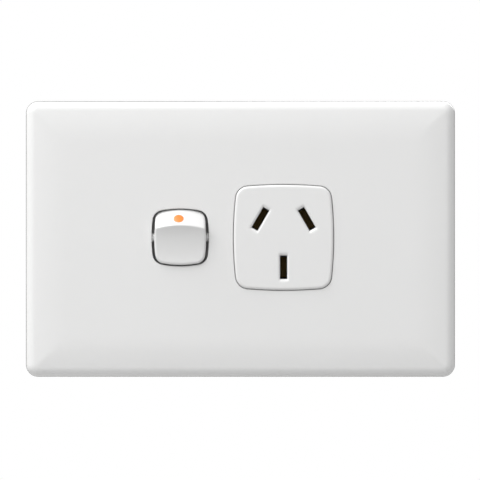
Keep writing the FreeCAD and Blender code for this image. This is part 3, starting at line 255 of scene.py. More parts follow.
def add_node(tree, kind, **inputs):
    """A node whose inputs, by name with _ for a space, take a socket or a value."""
    node = tree.nodes.new(kind)
    for name, source in inputs.items():
        socket = node.inputs[name.replace("_", " ")]
        if isinstance(source, bpy.types.NodeSocket):
            tree.links.new(source, socket)
        else:
            socket.default_value = source
    return node


def calculate(tree, operation, *sources):
    """A Math node on sockets or numbers."""
    node = tree.nodes.new("ShaderNodeMath")
    node.operation = operation
    for slot, source in zip(node.inputs, sources):
        if isinstance(source, bpy.types.NodeSocket):
            tree.links.new(source, slot)
        else:
            slot.default_value = source
    return node.outputs[0]


# Cover plate

def cover_profile():
    """Steps inward and levels from the back rim over the rounded edge to the end of the crown."""
    draft = math.radians(PLATE["draft"])
    run, crown, edge = PLATE["crown_run"], PLATE["crown_radius"], PLATE["edge_round"]
    crown_y = crown - PLATE["depth"]
    along = Vector((math.sin(draft), -math.cos(draft)))
    inward = Vector((math.cos(draft), math.sin(draft)))
    start = Vector((0.0, -PLATE["lift"])) + inward * edge
    offset = start - Vector((run, crown_y))
    half = offset.dot(along)
    length = -half + math.sqrt(half * half - offset.length_squared + (crown - edge) ** 2)
    centre = start + along * length
    steps = [(length * share * along.x, -PLATE["lift"] + length * share * along.y)
             for share in SIDE_STATIONS]
    first = math.atan2(-inward.y, -inward.x)
    radial = centre - Vector((run, crown_y))
    last = math.atan2(radial.y, radial.x)
    if last < first:
        first -= 2 * math.pi
    for step in range(ROUND_STEPS + 1):
        turn = first + (last - first) * step / ROUND_STEPS
        steps.append((centre.x + edge * math.cos(turn), centre.y + edge * math.sin(turn)))
    begin = math.atan2(-radial.x, -radial.y)
    for step in range(1, CROWN_STEPS + 1):
        turn = begin * (1 - step / CROWN_STEPS)
        steps.append((run - crown * math.sin(turn), crown_y - crown * math.cos(turn)))
    return steps


def cover_row(inset, y):
    """The plate's outline, drawn in by an inset."""
    corner = max(PLATE["corner"] - inset, LEAST_CORNER)
    return rounded_row(PLATE["width"] / 2 - inset, PLATE["height"] / 2 - inset, corner, y)


def lip_rows(shape, front, steps=6):
    """The rounded lip of an opening, from the flat face to its wall."""
    rows = [bulged_row(shape, front, -LIP_ROUND - FLAT_BAND)]
    for step in range(steps + 1):
        turn = math.pi / 2 * step / steps
        rows.append(bulged_row(shape, front + LIP_ROUND * (1 - math.cos(turn)),
                               LIP_ROUND * (math.sin(turn) - 1)))
    return rows


def relief_row(y):
    """The square relief behind the switch opening, where the well of the base plate stands."""
    row = rounded_row(RELIEF["width"] / 2, RELIEF["height"] / 2, RELIEF["corner"], y, 4, 4)
    return [(SWITCH["x"] + x, y, SWITCH["z"] + z) for x, y, z in row]


def make_cover():
    """The crowned shell with its two openings, one closed skin."""
    work = bmesh.new()
    face, inner_face = -PLATE["depth"], PLATE["face_wall"] - PLATE["depth"]
    wall = PLATE["side_wall"]
    rows = [cover_row(wall, inner_face), cover_row(wall, -PLATE["lift"])]
    rows += [cover_row(inset, y) for inset, y in cover_profile()]
    rows.append(cover_row(PLATE["crown_run"] + FLAT_BAND, face))
    outside = skin(work, rows)
    socket = skin(work, lip_rows(SOCKET, face) + [bulged_row(SOCKET, inner_face)])
    under_lip = face + SWITCH_LIP
    switch = skin(work, lip_rows(SWITCH, face) + [bulged_row(SWITCH, under_lip)])
    relief = skin(work, [relief_row(under_lip), relief_row(inner_face)])
    fill_between(work, [outside[-1], socket[0], switch[0]])
    fill_between(work, [switch[-1], relief[0]])
    fill_between(work, [outside[0], socket[-1], relief[-1]])
    new_piece("cover_moulding", mesh_from(work, "cover_moulding"), "cover_plate", "plate_white")


# Dolly

FOOT_RISE = -math.sqrt(DOLLY["reach"] ** 2 - FOOT_LEVEL ** 2)
TOP_RISE = math.sqrt(DOLLY["reach"] ** 2 - TOP_LEVEL ** 2)
FOOT_ANGLE, NECK_ANGLE = math.radians(FOOT_TURN), math.radians(NECK_TURN)
NECK_RISE = FOOT_RISE + FOOT_RADIUS * math.sin(FOOT_ANGLE)
NECK_LEVEL = FOOT_LEVEL + FOOT_RADIUS * (1 - math.cos(FOOT_ANGLE))
RIDGE_RISE = NECK_RISE + NECK_RADIUS * (math.sin(NECK_ANGLE) - math.sin(FOOT_ANGLE))
RIDGE_LEVEL = NECK_LEVEL + NECK_RADIUS * (math.cos(FOOT_ANGLE) - math.cos(NECK_ANGLE))
FACET_SLOPE = (RIDGE_LEVEL - TOP_LEVEL) / (TOP_RISE - RIDGE_RISE)


def scoop_level(z):
    """Height over the pivot of the finger scoop: a shallow arc, then a tight one up to the ridge."""
    if z <= NECK_RISE:
        return FOOT_LEVEL + FOOT_RADIUS - math.sqrt(FOOT_RADIUS ** 2 - (z - FOOT_RISE) ** 2)
    centre_z = NECK_RISE - NECK_RADIUS * math.sin(FOOT_ANGLE)
    centre_level = NECK_LEVEL + NECK_RADIUS * math.cos(FOOT_ANGLE)
    past = min(z - centre_z, NECK_RADIUS * math.sin(math.radians(NECK_LIMIT)))
    return centre_level - math.sqrt(NECK_RADIUS ** 2 - past ** 2)


def facet_level(x, z):
    """Height over the pivot of the upper facet, a barrel across the dolly."""
    drop = BARREL_RADIUS - math.sqrt(BARREL_RADIUS ** 2 - x * x)
    lean = math.atan(FACET_SLOPE)
    return RIDGE_LEVEL - FACET_SLOPE * (z - RIDGE_RISE) - drop / math.cos(lean)


def dolly_level(x, z):
    """The lower of scoop and facet, with a soft ridge between them."""
    low, high = sorted((scoop_level(z), facet_level(x, z)))
    return low - RIDGE_SOFTNESS * math.log1p(math.exp(-(high - low) / RIDGE_SOFTNESS))


DOLLY_QUARTER = bulged_quarter(DOLLY["width"], 2 * DOLLY["reach"], DOLLY["side"], DOLLY["end"],
                               DOLLY["corner"], QUARTER_STEPS)


def in_dolly(x, radius):
    """Whether a point at this distance from the pivot's axis lies in the turned body."""
    x = abs(x)
    for (x1, z1), (x2, z2) in zip(DOLLY_QUARTER, DOLLY_QUARTER[1:]):
        if z1 <= radius <= z2:
            share = (radius - z1) / (z2 - z1)
            return x <= x1 + (x2 - x1) * share
    return False


def dolly_edge(turn, level):
    """How far the body reaches in this direction, at a level or at its own front."""
    low, high = 0.0, BEYOND_DOLLY
    for _ in range(HALVINGS):
        middle = (low + high) / 2
        x, z = middle * math.cos(turn), middle * math.sin(turn)
        height = dolly_level(x, z) - DOLLY_EDGE if level is None else level
        if in_dolly(x, math.hypot(height, z)):
            low = middle
        else:
            high = middle
    return low


def dolly_point(reach, turn, level):
    """A point of the dolly in the frame of the whole outlet."""
    x, z = reach * math.cos(turn), reach * math.sin(turn)
    return (SWITCH["x"] + x, PIVOT_Y - level, SWITCH["z"] + z)


def ring(turns, reaches, level_at):
    """A row around the pivot's axis, whose level follows a rule of x and z."""
    points = []
    for turn, reach in zip(turns, reaches):
        level = level_at(reach * math.cos(turn), reach * math.sin(turn))
        points.append(dolly_point(reach, turn, level))
    return points


def dolly_inside(turns, edges):
    """Rows of the hollow, from the middle of its ceiling out and down to the back rim."""
    def ceiling(x, z):
        return dolly_level(x, z) - CEILING_WALL
    rows = []
    for step in range(1, CEILING_STEPS + 1):
        share = step / CEILING_STEPS
        rows.append(ring(turns, [(edge - DOLLY_WALL) * share for edge in edges], ceiling))
    for level in (SKIRT_LEVEL, RIM_LEVEL):
        reaches = [dolly_edge(turn, level) - DOLLY_WALL for turn in turns]
        rows.append(ring(turns, reaches, lambda x, z, level=level: level))
    return rows


def dolly_outside(turns, edges):
    """Rows of the skirt, the rounded edge and the sculpted front, from the back rim inward."""
    rows = []
    for level in (RIM_LEVEL, SKIRT_LEVEL) + FLANK_LEVELS:
        reaches = [dolly_edge(turn, level) for turn in turns]
        rows.append(ring(turns, reaches, lambda x, z, level=level: level))
    for step in range(EDGE_STEPS + 1):
        bend = math.pi / 2 * (1 - step / EDGE_STEPS)
        drop = DOLLY_EDGE * (1 - math.cos(bend))
        reaches = [edge - DOLLY_EDGE * (1 - math.sin(bend)) for edge in edges]
        rows.append(ring(turns, reaches, lambda x, z, drop=drop: dolly_level(x, z) - drop))
    for step in range(1, FRONT_STEPS):
        share = 1 - step / FRONT_STEPS
        rows.append(ring(turns, [(edge - DOLLY_EDGE) * share for edge in edges], dolly_level))
    return rows


def close_row(work, row, middle):
    """A fan that ends a skin at one point."""
    tip = work.verts.new(Vector(middle) * MM)
    for index, vertex in enumerate(row):
        work.faces.new((vertex, row[(index + 1) % len(row)], tip))


def closed_skin(work, rows, first, last):
    """A skin over rows, ended at both sides by a point."""
    loops = skin(work, rows)
    close_row(work, loops[0], first)
    close_row(work, loops[-1], last)


def add_trunnion(work, side):
    """A pin out of the dolly's flank, with a bevelled end."""
    radius, bevel = TRUNNION["radius"], TRUNNION["bevel"]
    stations = [(TRUNNION["start"], radius), (TRUNNION["end"] - bevel, radius),
                (TRUNNION["end"], radius - bevel)]
    def at(x, reach, turn):
        return (SWITCH["x"] + side * x, PIVOT_Y + reach * math.cos(turn),
                SWITCH["z"] + reach * math.sin(turn))
    turns = full_turn(TRUNNION_SIDES)
    rows = [[at(x, reach, turn) for turn in turns] for x, reach in stations]
    closed_skin(work, rows, at(stations[0][0], 0, 0), at(stations[-1][0], 0, 0))


def on_plunger_axis(ahead, reach=0.0, turn=0.0):
    """A point around the leaning axis of the plunger, so far ahead of the pivot."""
    across, up = reach * math.cos(turn), reach * math.sin(turn)
    return (SWITCH["x"] + across, PIVOT_Y - ahead * math.cos(LEAN) + up * math.sin(LEAN),
            SWITCH["z"] + ahead * math.sin(LEAN) + up * math.cos(LEAN))


def add_tube(work):
    """The plunger's guide tube, open at the back."""
    turns = full_turn(TUBE_SIDES)
    outer, bore, back = TUBE["outer"], TUBE["bore"], -TUBE["back"]
    bevel, mouth = TUBE["bevel"], TUBE["mouth"]
    stations = [(TUBE["front"], outer), (back + bevel, outer), (back, outer - bevel),
                (back, bore + mouth), (back + mouth, bore), (TUBE["bore_front"], bore)]
    rows = [[on_plunger_axis(ahead, reach, turn) for turn in turns] for ahead, reach in stations]
    closed_skin(work, rows, on_plunger_axis(TUBE["front"]), on_plunger_axis(TUBE["bore_front"]))


def make_dolly():
    """The rocking button: sculpted front, soft edges, hollow back, trunnions and guide tube."""
    work = bmesh.new()
    turns = full_turn(DOLLY_SIDES, 0.5)
    edges = [dolly_edge(turn, None) for turn in turns]
    rows = dolly_inside(turns, edges) + dolly_outside(turns, edges)
    closed_skin(work, rows, dolly_point(0, 0, dolly_level(0, 0) - CEILING_WALL),
                dolly_point(0, 0, dolly_level(0, 0)))
    for side in (-1, 1):
        add_trunnion(work, side)
    add_tube(work)
    new_piece("dolly_moulding", mesh_from(work, "dolly_moulding", 60), "rocker", "rocker_white",
              "rocker")


def make_dot():
    """The mark: a low dome let into the facet."""
    lean = math.atan(FACET_SLOPE)
    level = RIDGE_LEVEL - FACET_SLOPE * (DOT["rise"] - RIDGE_RISE)
    def at(reach, turn, height):
        across, up = DOT["shift"] + reach * math.cos(turn), reach * math.sin(turn)
        lift = height - (across * across) / (2 * BARREL_RADIUS)
        return (SWITCH["x"] + across, PIVOT_Y - level + up * math.sin(lean) - lift * math.cos(lean),
                SWITCH["z"] + DOT["rise"] + up * math.cos(lean) + lift * math.sin(lean))
    turns = full_turn(DOT_SIDES)
    radius, proud, dome = DOT["radius"], DOT["proud"], DOT["dome"]
    stations = [(radius, -DOT["depth"])] + [(radius - inset, height) for inset, height in DOT_RIM]
    stations += [(radius * share, proud + dome * (1 - share * share)) for share in DOT_SHARES]
    work = bmesh.new()
    rows = [[at(reach, turn, height) for turn in turns] for reach, height in stations]
    closed_skin(work, rows, at(0, 0, -DOT["depth"]), at(0, 0, proud + dome))
    new_piece("mark_inlay", mesh_from(work, "mark_inlay"), "rocker_dot", "dot_orange", "rocker")


# Base plate

def slot_row(slot, grow, y):
    """A rounded slot outline, grown by a share of the lead-in."""
    x, z, lean = slot
    half_width = SLOT_HALF_WIDTH + LEAD_IN["side"] * grow
    half_length = SLOT_HALF_LENGTH + LEAD_IN["end"] * grow
    turn = math.radians(lean)
    row = rounded_row(half_width, half_length, SLOT_CORNER + LEAD_IN["corner"] * grow, y, 5, 5)
    return [(x + across * math.cos(turn) + up * math.sin(turn), y,
             z - across * math.sin(turn) + up * math.cos(turn)) for across, _, up in row]


def slot_rows(slot):
    """The soft lead-in of a pin slot, from the face to just short of the slot's own wall."""
    rows = [slot_row(slot, 1.0 + FLAT_BAND, -FACE_LEVEL)]
    for step in range(LEAD_IN_STEPS):
        bend = math.pi / 2 * (1 - step / LEAD_IN_STEPS)
        depth = LEAD_IN["depth"] * (1 - math.sin(bend))
        rows.append(slot_row(slot, 1 - math.cos(bend), depth - FACE_LEVEL))
    return rows


def face_rows():
    """The rounded rim of the socket face, from just in front of its wall."""
    rows = []
    for step in range(1, FACE_STEPS + 1):
        turn = math.pi / 2 * step / FACE_STEPS
        rows.append(bulged_row(FACE, FACE_ROUND * (1 - math.sin(turn)) - FACE_LEVEL,
                               FACE_ROUND * (1 - math.cos(turn)), FACE_ROW_STEPS))
    rows.append(bulged_row(FACE, -FACE_LEVEL, FACE_ROUND + FLAT_BAND, FACE_ROW_STEPS))
    return rows


def open_rows(work):
    """The open edges of a mesh, as closed rows of vertices."""
    left = [edge for edge in work.edges if edge.is_boundary]
    rows = []
    while left:
        row = list(left.pop(0).verts)
        while row[-1] != row[0]:
            edge = next(item for item in row[-1].link_edges if item in left)
            left.remove(edge)
            row.append(edge.other_vert(row[-1]))
        rows.append(row[:-1])
    return rows


def middle_of(row):
    """The mean place of a row's vertices."""
    return sum((vertex.co for vertex in row), Vector()) / len(row)


def area_of(row):
    """The area inside a row as seen from the front, below zero where it runs clockwise."""
    return sum(a.co.x * b.co.z - b.co.x * a.co.z for a, b in zip(row, row[1:] + row[:1])) / 2


def zip_rows(work, first, second):
    """Triangles between two closed rows of unlike counts, each time across the shorter way."""
    if area_of(first) * area_of(second) < 0:
        second = second[::-1]
    start = min(range(len(second)), key=lambda index: (second[index].co - first[0].co).length)
    first, second = first + first[:1], second[start:] + second[:start + 1]
    a, b = 0, 0
    while a + 1 < len(first) or b + 1 < len(second):
        ahead_a = (first[a + 1].co - second[b].co).length if a + 1 < len(first) else math.inf
        ahead_b = (second[b + 1].co - first[a].co).length if b + 1 < len(second) else math.inf
        if ahead_a <= ahead_b:
            work.faces.new((first[a], first[a + 1], second[b]))
            a += 1
        else:
            work.faces.new((first[a], second[b + 1], second[b]))
            b += 1


def make_base():
    """The base plate's own mesh, with a finer socket face and softer lead-ins sewn to it."""
    work = bmesh.new()
    work.from_mesh(NODES["base_plate"].data)
    work.transform(NODES["base_plate"].matrix_world)
    bmesh.ops.remove_doubles(work, verts=work.verts, dist=1e-6)
    limit = (LEAD_IN["depth"] + CUT_MARGIN - FACE_LEVEL) * MM
    front = [face for face in work.faces if face.calc_center_median().y < limit]
    bmesh.ops.delete(work, geom=front, context="FACES")
    cut_rows = open_rows(work)
    rim = skin(work, face_rows())
    mouths = [skin(work, slot_rows(slot)) for slot in SLOTS]
    fill_between(work, [rim[-1]] + [mouth[0] for mouth in mouths])
    for new_row in [rim[0]] + [mouth[-1] for mouth in mouths]:
        middle = middle_of(new_row)
        zip_rows(work, min(cut_rows, key=lambda row: (middle_of(row) - middle).length), new_row)
    new_piece("base_moulding", mesh_from(work, "base_moulding", 35), "base_plate", "grid_white")


# Screws and spring, from node trees

def geometry_tree(name, inputs):
    """A tree with named inputs and one geometry output; the tree and its two ends come back."""
    tree = bpy.data.node_groups.new(name, "GeometryNodeTree")
    for label, kind in inputs:
        tree.interface.new_socket(label, in_out="INPUT", socket_type=kind)
    tree.interface.new_socket("Geometry", in_out="OUTPUT", socket_type="NodeSocketGeometry")
    return tree, tree.nodes.new("NodeGroupInput").outputs, tree.nodes.new("NodeGroupOutput")


def end_tree(tree, geometry, material, out):
    """Instances made real, and the finish set."""
    real = add_node(tree, "GeometryNodeRealizeInstances", Geometry=geometry)
    set_finish = add_node(tree, "GeometryNodeSetMaterial", Geometry=real.outputs[0],
                          Material=material)
    tree.links.new(set_finish.outputs[0], out.inputs[0])


def make_screw_tree():
    """A turned blank gets its driver slot and a thread wound on its core."""
    tree, given, out = geometry_tree("threaded screw", [
        ("Blank", "NodeSocketGeometry"), ("Core", "NodeSocketFloat"), ("Depth", "NodeSocketFloat"),
        ("Pitch", "NodeSocketFloat"), ("Length", "NodeSocketFloat"), ("Start", "NodeSocketVector"),
        ("Driver size", "NodeSocketVector"), ("Driver place", "NodeSocketVector"),
        ("Material", "NodeSocketMaterial")])
    cutter = add_node(tree, "GeometryNodeMeshCube", Size=given["Driver size"])
    placed = add_node(tree, "GeometryNodeTransform", Geometry=cutter.outputs["Mesh"],
                      Translation=given["Driver place"])
    head = tree.nodes.new("GeometryNodeMeshBoolean")
    head.operation = "DIFFERENCE"
    tree.links.new(given["Blank"], head.inputs["Mesh 1"])
    tree.links.new(placed.outputs[0], head.inputs["Mesh 2"])
    winds = calculate(tree, "DIVIDE", given["Length"], given["Pitch"])
    path = add_node(tree, "GeometryNodeCurveSpiral", Resolution=THREAD_STEPS, Rotations=winds,
                    Start_Radius=given["Core"], End_Radius=given["Core"], Height=given["Length"])
    upright = tree.nodes.new("GeometryNodeSetCurveNormal")
    upright.mode = "Z_UP"
    tree.links.new(path.outputs[0], upright.inputs["Curve"])
    ridge = add_node(tree, "GeometryNodeCurvePrimitiveCircle", Resolution=THREAD_SIDES,
                     Radius=given["Depth"])
    thread = add_node(tree, "GeometryNodeCurveToMesh", Curve=upright.outputs[0],
                      Profile_Curve=ridge.outputs[0], Fill_Caps=True)
    turned = add_node(tree, "GeometryNodeTransform", Geometry=thread.outputs[0],
                      Translation=given["Start"], Rotation=(-math.pi / 2, 0.0, 0.0))
    both = tree.nodes.new("GeometryNodeJoinGeometry")
    tree.links.new(head.outputs["Mesh"], both.inputs[0])
    tree.links.new(turned.outputs[0], both.inputs[0])
    end_tree(tree, both.outputs[0], given["Material"], out)
    return tree


def make_spring_tree():
    """A wire wound to a coil whose end turns lie close."""
    tree, given, out = geometry_tree("compression spring", [
        ("Radius", "NodeSocketFloat"), ("Wire", "NodeSocketFloat"), ("Length", "NodeSocketFloat"),
        ("Turns", "NodeSocketFloat"), ("Closed share", "NodeSocketFloat"),
        ("Place", "NodeSocketVector"), ("Lean", "NodeSocketFloat"),
        ("Material", "NodeSocketMaterial")])
    line = add_node(tree, "GeometryNodeCurvePrimitiveLine")
    steps = add_node(tree, "GeometryNodeResampleCurve", Curve=line.outputs[0], Count=COIL_STEPS)
    along = tree.nodes.new("GeometryNodeSplineParameter").outputs["Factor"]
    turns = calculate(tree, "MULTIPLY", given["Turns"], 2 * math.pi)
    angle = calculate(tree, "MULTIPLY", along, turns)
    x = calculate(tree, "MULTIPLY", calculate(tree, "COSINE", angle), given["Radius"])
    y = calculate(tree, "MULTIPLY", calculate(tree, "SINE", angle), given["Radius"])
    close = add_node(tree, "ShaderNodeMapRange", Value=along, From_Min=given["Closed share"],
                     From_Max=calculate(tree, "SUBTRACT", 1.0, given["Closed share"]))
    pressed = calculate(tree, "MULTIPLY", given["Wire"], 2.0)
    middle = calculate(tree, "SUBTRACT", given["Length"], calculate(tree, "MULTIPLY", pressed, 2.0))
    first = add_node(tree, "ShaderNodeMapRange", Value=along, From_Max=given["Closed share"],
                     To_Max=pressed)
    last = add_node(tree, "ShaderNodeMapRange", Value=along, To_Max=pressed,
                    From_Min=calculate(tree, "SUBTRACT", 1.0, given["Closed share"]))
    height = calculate(tree, "MULTIPLY", close.outputs[0], middle)
    height = calculate(tree, "ADD", height, first.outputs[0])
    height = calculate(tree, "ADD", height, last.outputs[0])
    spot = add_node(tree, "ShaderNodeCombineXYZ", X=x, Y=y, Z=height)
    coil = add_node(tree, "GeometryNodeSetPosition", Geometry=steps.outputs[0],
                    Position=spot.outputs[0])
    section = add_node(tree, "GeometryNodeCurvePrimitiveCircle", Resolution=WIRE_SIDES,
                       Radius=given["Wire"])
    wire = add_node(tree, "GeometryNodeCurveToMesh", Curve=coil.outputs[0],
                    Profile_Curve=section.outputs[0], Fill_Caps=True)
    bend = add_node(tree, "ShaderNodeCombineXYZ", X=given["Lean"], Y=0.0, Z=0.0)
    placed = add_node(tree, "GeometryNodeTransform", Geometry=wire.outputs[0],
                      Translation=given["Place"], Rotation=bend.outputs[0])
    end_tree(tree, placed.outputs[0], given["Material"], out)
    return tree


def from_tree(tree, blank, values, name):
    """Runs a tree on a blank mesh and gives the result back as a bmesh."""
    item = bpy.data.objects.new(name + "_blank", blank)
    bpy.context.scene.collection.objects.link(item)
    modifier = item.modifiers.new("shape", "NODES")
    modifier.node_group = tree
    for socket in tree.interface.items_tree:
        if socket.in_out == "INPUT" and socket.name in values:
            modifier[socket.identifier] = values[socket.name]
    shaped = item.evaluated_get(bpy.context.evaluated_depsgraph_get())
    mesh = bpy.data.meshes.new_from_object(shaped)
    item.modifiers.remove(modifier)
    bpy.data.objects.remove(item)
    work = bmesh.new()
    work.from_mesh(mesh)
    bpy.data.meshes.remove(mesh)
    return work


def turned_blank(name, x, z, profile):
    """A closed turned body along Y, from pairs of radius and depth between its two poles."""
    work = bmesh.new()
    turns = full_turn(SCREW_SIDES)
    rows = [[(x + reach * math.cos(turn), y, z + reach * math.sin(turn)) for turn in turns]
            for reach, y in profile[1:-1]]
    closed_skin(work, rows, (x, profile[0][1], z), (x, profile[-1][1], z))
    return mesh_from(work, name)


def pan_head(kind):
    """The profile of a flat head with a rounded upper edge, from under it to its middle."""
    radius, top, edge = kind["head"], kind["top"], kind["edge"]
    side = 1 if top > kind["under"] else -1
    points = [(radius, kind["under"])]
    for step in range(HEAD_STEPS + 1):
        bend = math.pi / 2 * step / HEAD_STEPS
        points.append((radius - edge * (1 - math.cos(bend)), top - side * edge * (1 - math.sin(bend))))
    return points + [(0.0, top)]


def make_screw(node, place, kind):
    """One screw: its turned blank, its thread and its driver slot."""
    x, z = place
    slot_size = (3 * kind["head"], 2 * kind["slot_depth"], kind["slot_width"])
    values = {
        "Core": kind["core"] * MM, "Depth": kind["ridge"] * MM, "Pitch": kind["pitch"] * MM,
        "Length": (kind["end"] - kind["start"]) * MM, "Start": Vector((x, kind["start"], z)) * MM,
        "Driver size": Vector(slot_size) * MM, "Driver place": Vector((x, kind["top"], z)) * MM,
        "Material": FINISHES["zinc_steel"]}
    blank = turned_blank(node, x, z, kind["shank"] + pan_head(kind))
    work = from_tree(SCREW_TREE, blank, values, node)
    new_piece(node + "_turned", mesh_from(work, node + "_turned", 35), node, "zinc_steel")


def make_screws():
    """The four terminal screws, the four case screws and the two mounting screws."""
    for name, place in TERMINAL_SPOTS.items():
        make_screw(name + "_terminal_screw", place, TERMINAL_SCREW)
    for number, place in enumerate(CASE_SPOTS, 1):
        make_screw("case_screw_%d" % number, place, CASE_SCREW)
    for name, place in MOUNTING_SPOTS.items():
        make_screw(name + "_mounting_screw", place, MOUNTING_SCREW)


def make_spring():
    """The plunger's spring, wound in its tube."""
    values = {
        "Radius": SPRING["radius"] * MM, "Wire": SPRING["wire"] * MM,
        "Length": SPRING["length"] * MM, "Turns": SPRING["turns"],
        "Closed share": SPRING["closed"], "Lean": -math.pi / 2 - LEAN,
        "Place": Vector(on_plunger_axis(SPRING["start"])) * MM,
        "Material": FINISHES["spring_steel"]}
    empty = bpy.data.meshes.new("spring_blank")
    work = from_tree(make_spring_tree(), empty, values, "spring")
    new_piece("closed_coil", mesh_from(work, "closed_coil", 50), "plunger_spring", "spring_steel",
              "rocker")


# Finishes

def new_group(name, inputs, outputs):
    """An empty shader group with named sockets, and its two ends."""
    group = bpy.data.node_groups.new(name, "ShaderNodeTree")
    for label, kind, value in inputs:
        item = group.interface.new_socket(label, in_out="INPUT", socket_type=kind)
        item.default_value = value
    for label, kind in outputs:
        group.interface.new_socket(label, in_out="OUTPUT", socket_type=kind)
    return group, group.nodes.new("NodeGroupInput"), group.nodes.new("NodeGroupOutput")


def noise_node(tree, vector, scale, detail):
    """A noise whose scale is a socket or a number."""
    noise = add_node(tree, "ShaderNodeTexNoise", Vector=vector, Scale=scale, Detail=detail)
    return noise.outputs["Fac"]


def about(tree, centre, spread, noise):
    """A value that wanders about a centre as a noise does."""
    offset = calculate(tree, "SUBTRACT", noise, 0.5)
    wander = calculate(tree, "MULTIPLY", offset, spread)
    return calculate(tree, "ADD", centre, wander)


def make_mould_group():
    """Moulded skin: slow waves left by cooling, fine die grain, and a little change of gloss."""
    group, given, out = new_group("moulded skin", [
        ("Wave scale", "NodeSocketFloat", 60.0), ("Grain scale", "NodeSocketFloat", 1500.0),
        ("Grain share", "NodeSocketFloat", 0.2), ("Roughness", "NodeSocketFloat", 0.2),
        ("Roughness spread", "NodeSocketFloat", 0.05), ("Tone spread", "NodeSocketFloat", 0.02),
    ], [("Tone", "NodeSocketFloat"), ("Roughness", "NodeSocketFloat"), ("Height", "NodeSocketFloat")])
    place = group.nodes.new("ShaderNodeTexCoord").outputs["Object"]
    wave = noise_node(group, place, given.outputs["Wave scale"], 2.0)
    grain = noise_node(group, place, given.outputs["Grain scale"], 4.0)
    rough = about(group, given.outputs["Roughness"], given.outputs["Roughness spread"], wave)
    tone = about(group, 1.0, given.outputs["Tone spread"], wave)
    fine = calculate(group, "MULTIPLY", grain, given.outputs["Grain share"])
    height = calculate(group, "ADD", wave, fine)
    group.links.new(tone, out.inputs["Tone"])
    group.links.new(rough, out.inputs["Roughness"])
    group.links.new(height, out.inputs["Height"])
    return group


def make_metal_group():
    """Drawn or rolled metal: streaks along one way, with slow staining."""
    group, given, out = new_group("rolled metal", [
        ("Stretch", "NodeSocketVector", (1.0, 1.0, 1.0)), ("Streak scale", "NodeSocketFloat", 900.0),
        ("Stain scale", "NodeSocketFloat", 220.0), ("Roughness", "NodeSocketFloat", 0.3),
        ("Roughness spread", "NodeSocketFloat", 0.15),
    ], [("Streak", "NodeSocketFloat"), ("Stain", "NodeSocketFloat"), ("Roughness", "NodeSocketFloat")])
    place = group.nodes.new("ShaderNodeTexCoord").outputs["Object"]
    mapping = add_node(group, "ShaderNodeMapping", Vector=place, Scale=given.outputs["Stretch"])
    streak = noise_node(group, mapping.outputs["Vector"], given.outputs["Streak scale"], 5.0)
    stain = noise_node(group, place, given.outputs["Stain scale"], 3.0)
    rough = about(group, given.outputs["Roughness"], given.outputs["Roughness spread"], streak)
    group.links.new(streak, out.inputs["Streak"])
    group.links.new(stain, out.inputs["Stain"])
    group.links.new(rough, out.inputs["Roughness"])
    return group


def new_material(name):
    """A material with nodes, its tree and its Principled BSDF."""
    material = bpy.data.materials.new(name)
    material.use_nodes = True
    tree = material.node_tree
    return material, tree, tree.nodes["Principled BSDF"]


def place_group(tree, group, values):
    """A shader group in a material, with values for its named inputs."""
    node = tree.nodes.new("ShaderNodeGroup")
    node.node_tree = group
    for name, value in values.items():
        node.inputs[name].default_value = value
    return node


def mix_colours(tree, factor, first, second):
    """A Mix node set to colours, whose colour inputs are 6 and 7 and colour output is 2."""
    node = tree.nodes.new("ShaderNodeMix")
    node.data_type = "RGBA"
    node.inputs[6].default_value = (*first, 1.0)
    node.inputs[7].default_value = (*second, 1.0)
    tree.links.new(factor, node.inputs[0])
    return node.outputs[2]


def add_bump(tree, shader, height, strength, distance):
    """Fine relief from a height, on the shader's normal."""
    bump = add_node(tree, "ShaderNodeBump", Height=height, Strength=strength, Distance=distance)
    tree.links.new(bump.outputs["Normal"], shader.inputs["Normal"])


def plastic(name, colour, roughness, spread, group, wave=60.0, grain=1500.0, grain_share=0.2,
            bump=0.05, depth=0.02 * MM, tone=0.02):
    """A moulded plastic whose colour, gloss and surface come from the moulded skin."""
    material, tree, shader = new_material(name)
    skin_node = place_group(tree, group, {
        "Wave scale": wave, "Grain scale": grain, "Grain share": grain_share,
        "Roughness": roughness, "Roughness spread": spread, "Tone spread": tone})
    dark = tuple(part * (1 - tone) for part in colour)
    shade = calculate(tree, "SUBTRACT", skin_node.outputs["Tone"], 1.0 - tone / 2)
    factor = calculate(tree, "DIVIDE", shade, tone)
    tree.links.new(mix_colours(tree, factor, dark, colour), shader.inputs["Base Color"])
    tree.links.new(skin_node.outputs["Roughness"], shader.inputs["Roughness"])
    shader.inputs["IOR"].default_value = 1.5
    add_bump(tree, shader, skin_node.outputs["Height"], bump, depth)
    return material


def metal(name, dark, light, roughness, spread, group, stretch, streak=900.0, stain=220.0,
          bump=0.15, depth=0.01 * MM):
    """A metal with streaks in its gloss and a slow change of colour."""
    material, tree, shader = new_material(name)
    node = place_group(tree, group, {
        "Stretch": stretch, "Streak scale": streak, "Stain scale": stain,
        "Roughness": roughness, "Roughness spread": spread})
    tree.links.new(mix_colours(tree, node.outputs["Stain"], dark, light), shader.inputs["Base Color"])
    tree.links.new(node.outputs["Roughness"], shader.inputs["Roughness"])
    shader.inputs["Metallic"].default_value = 1.0
    add_bump(tree, shader, node.outputs["Streak"], bump, depth)
    return material


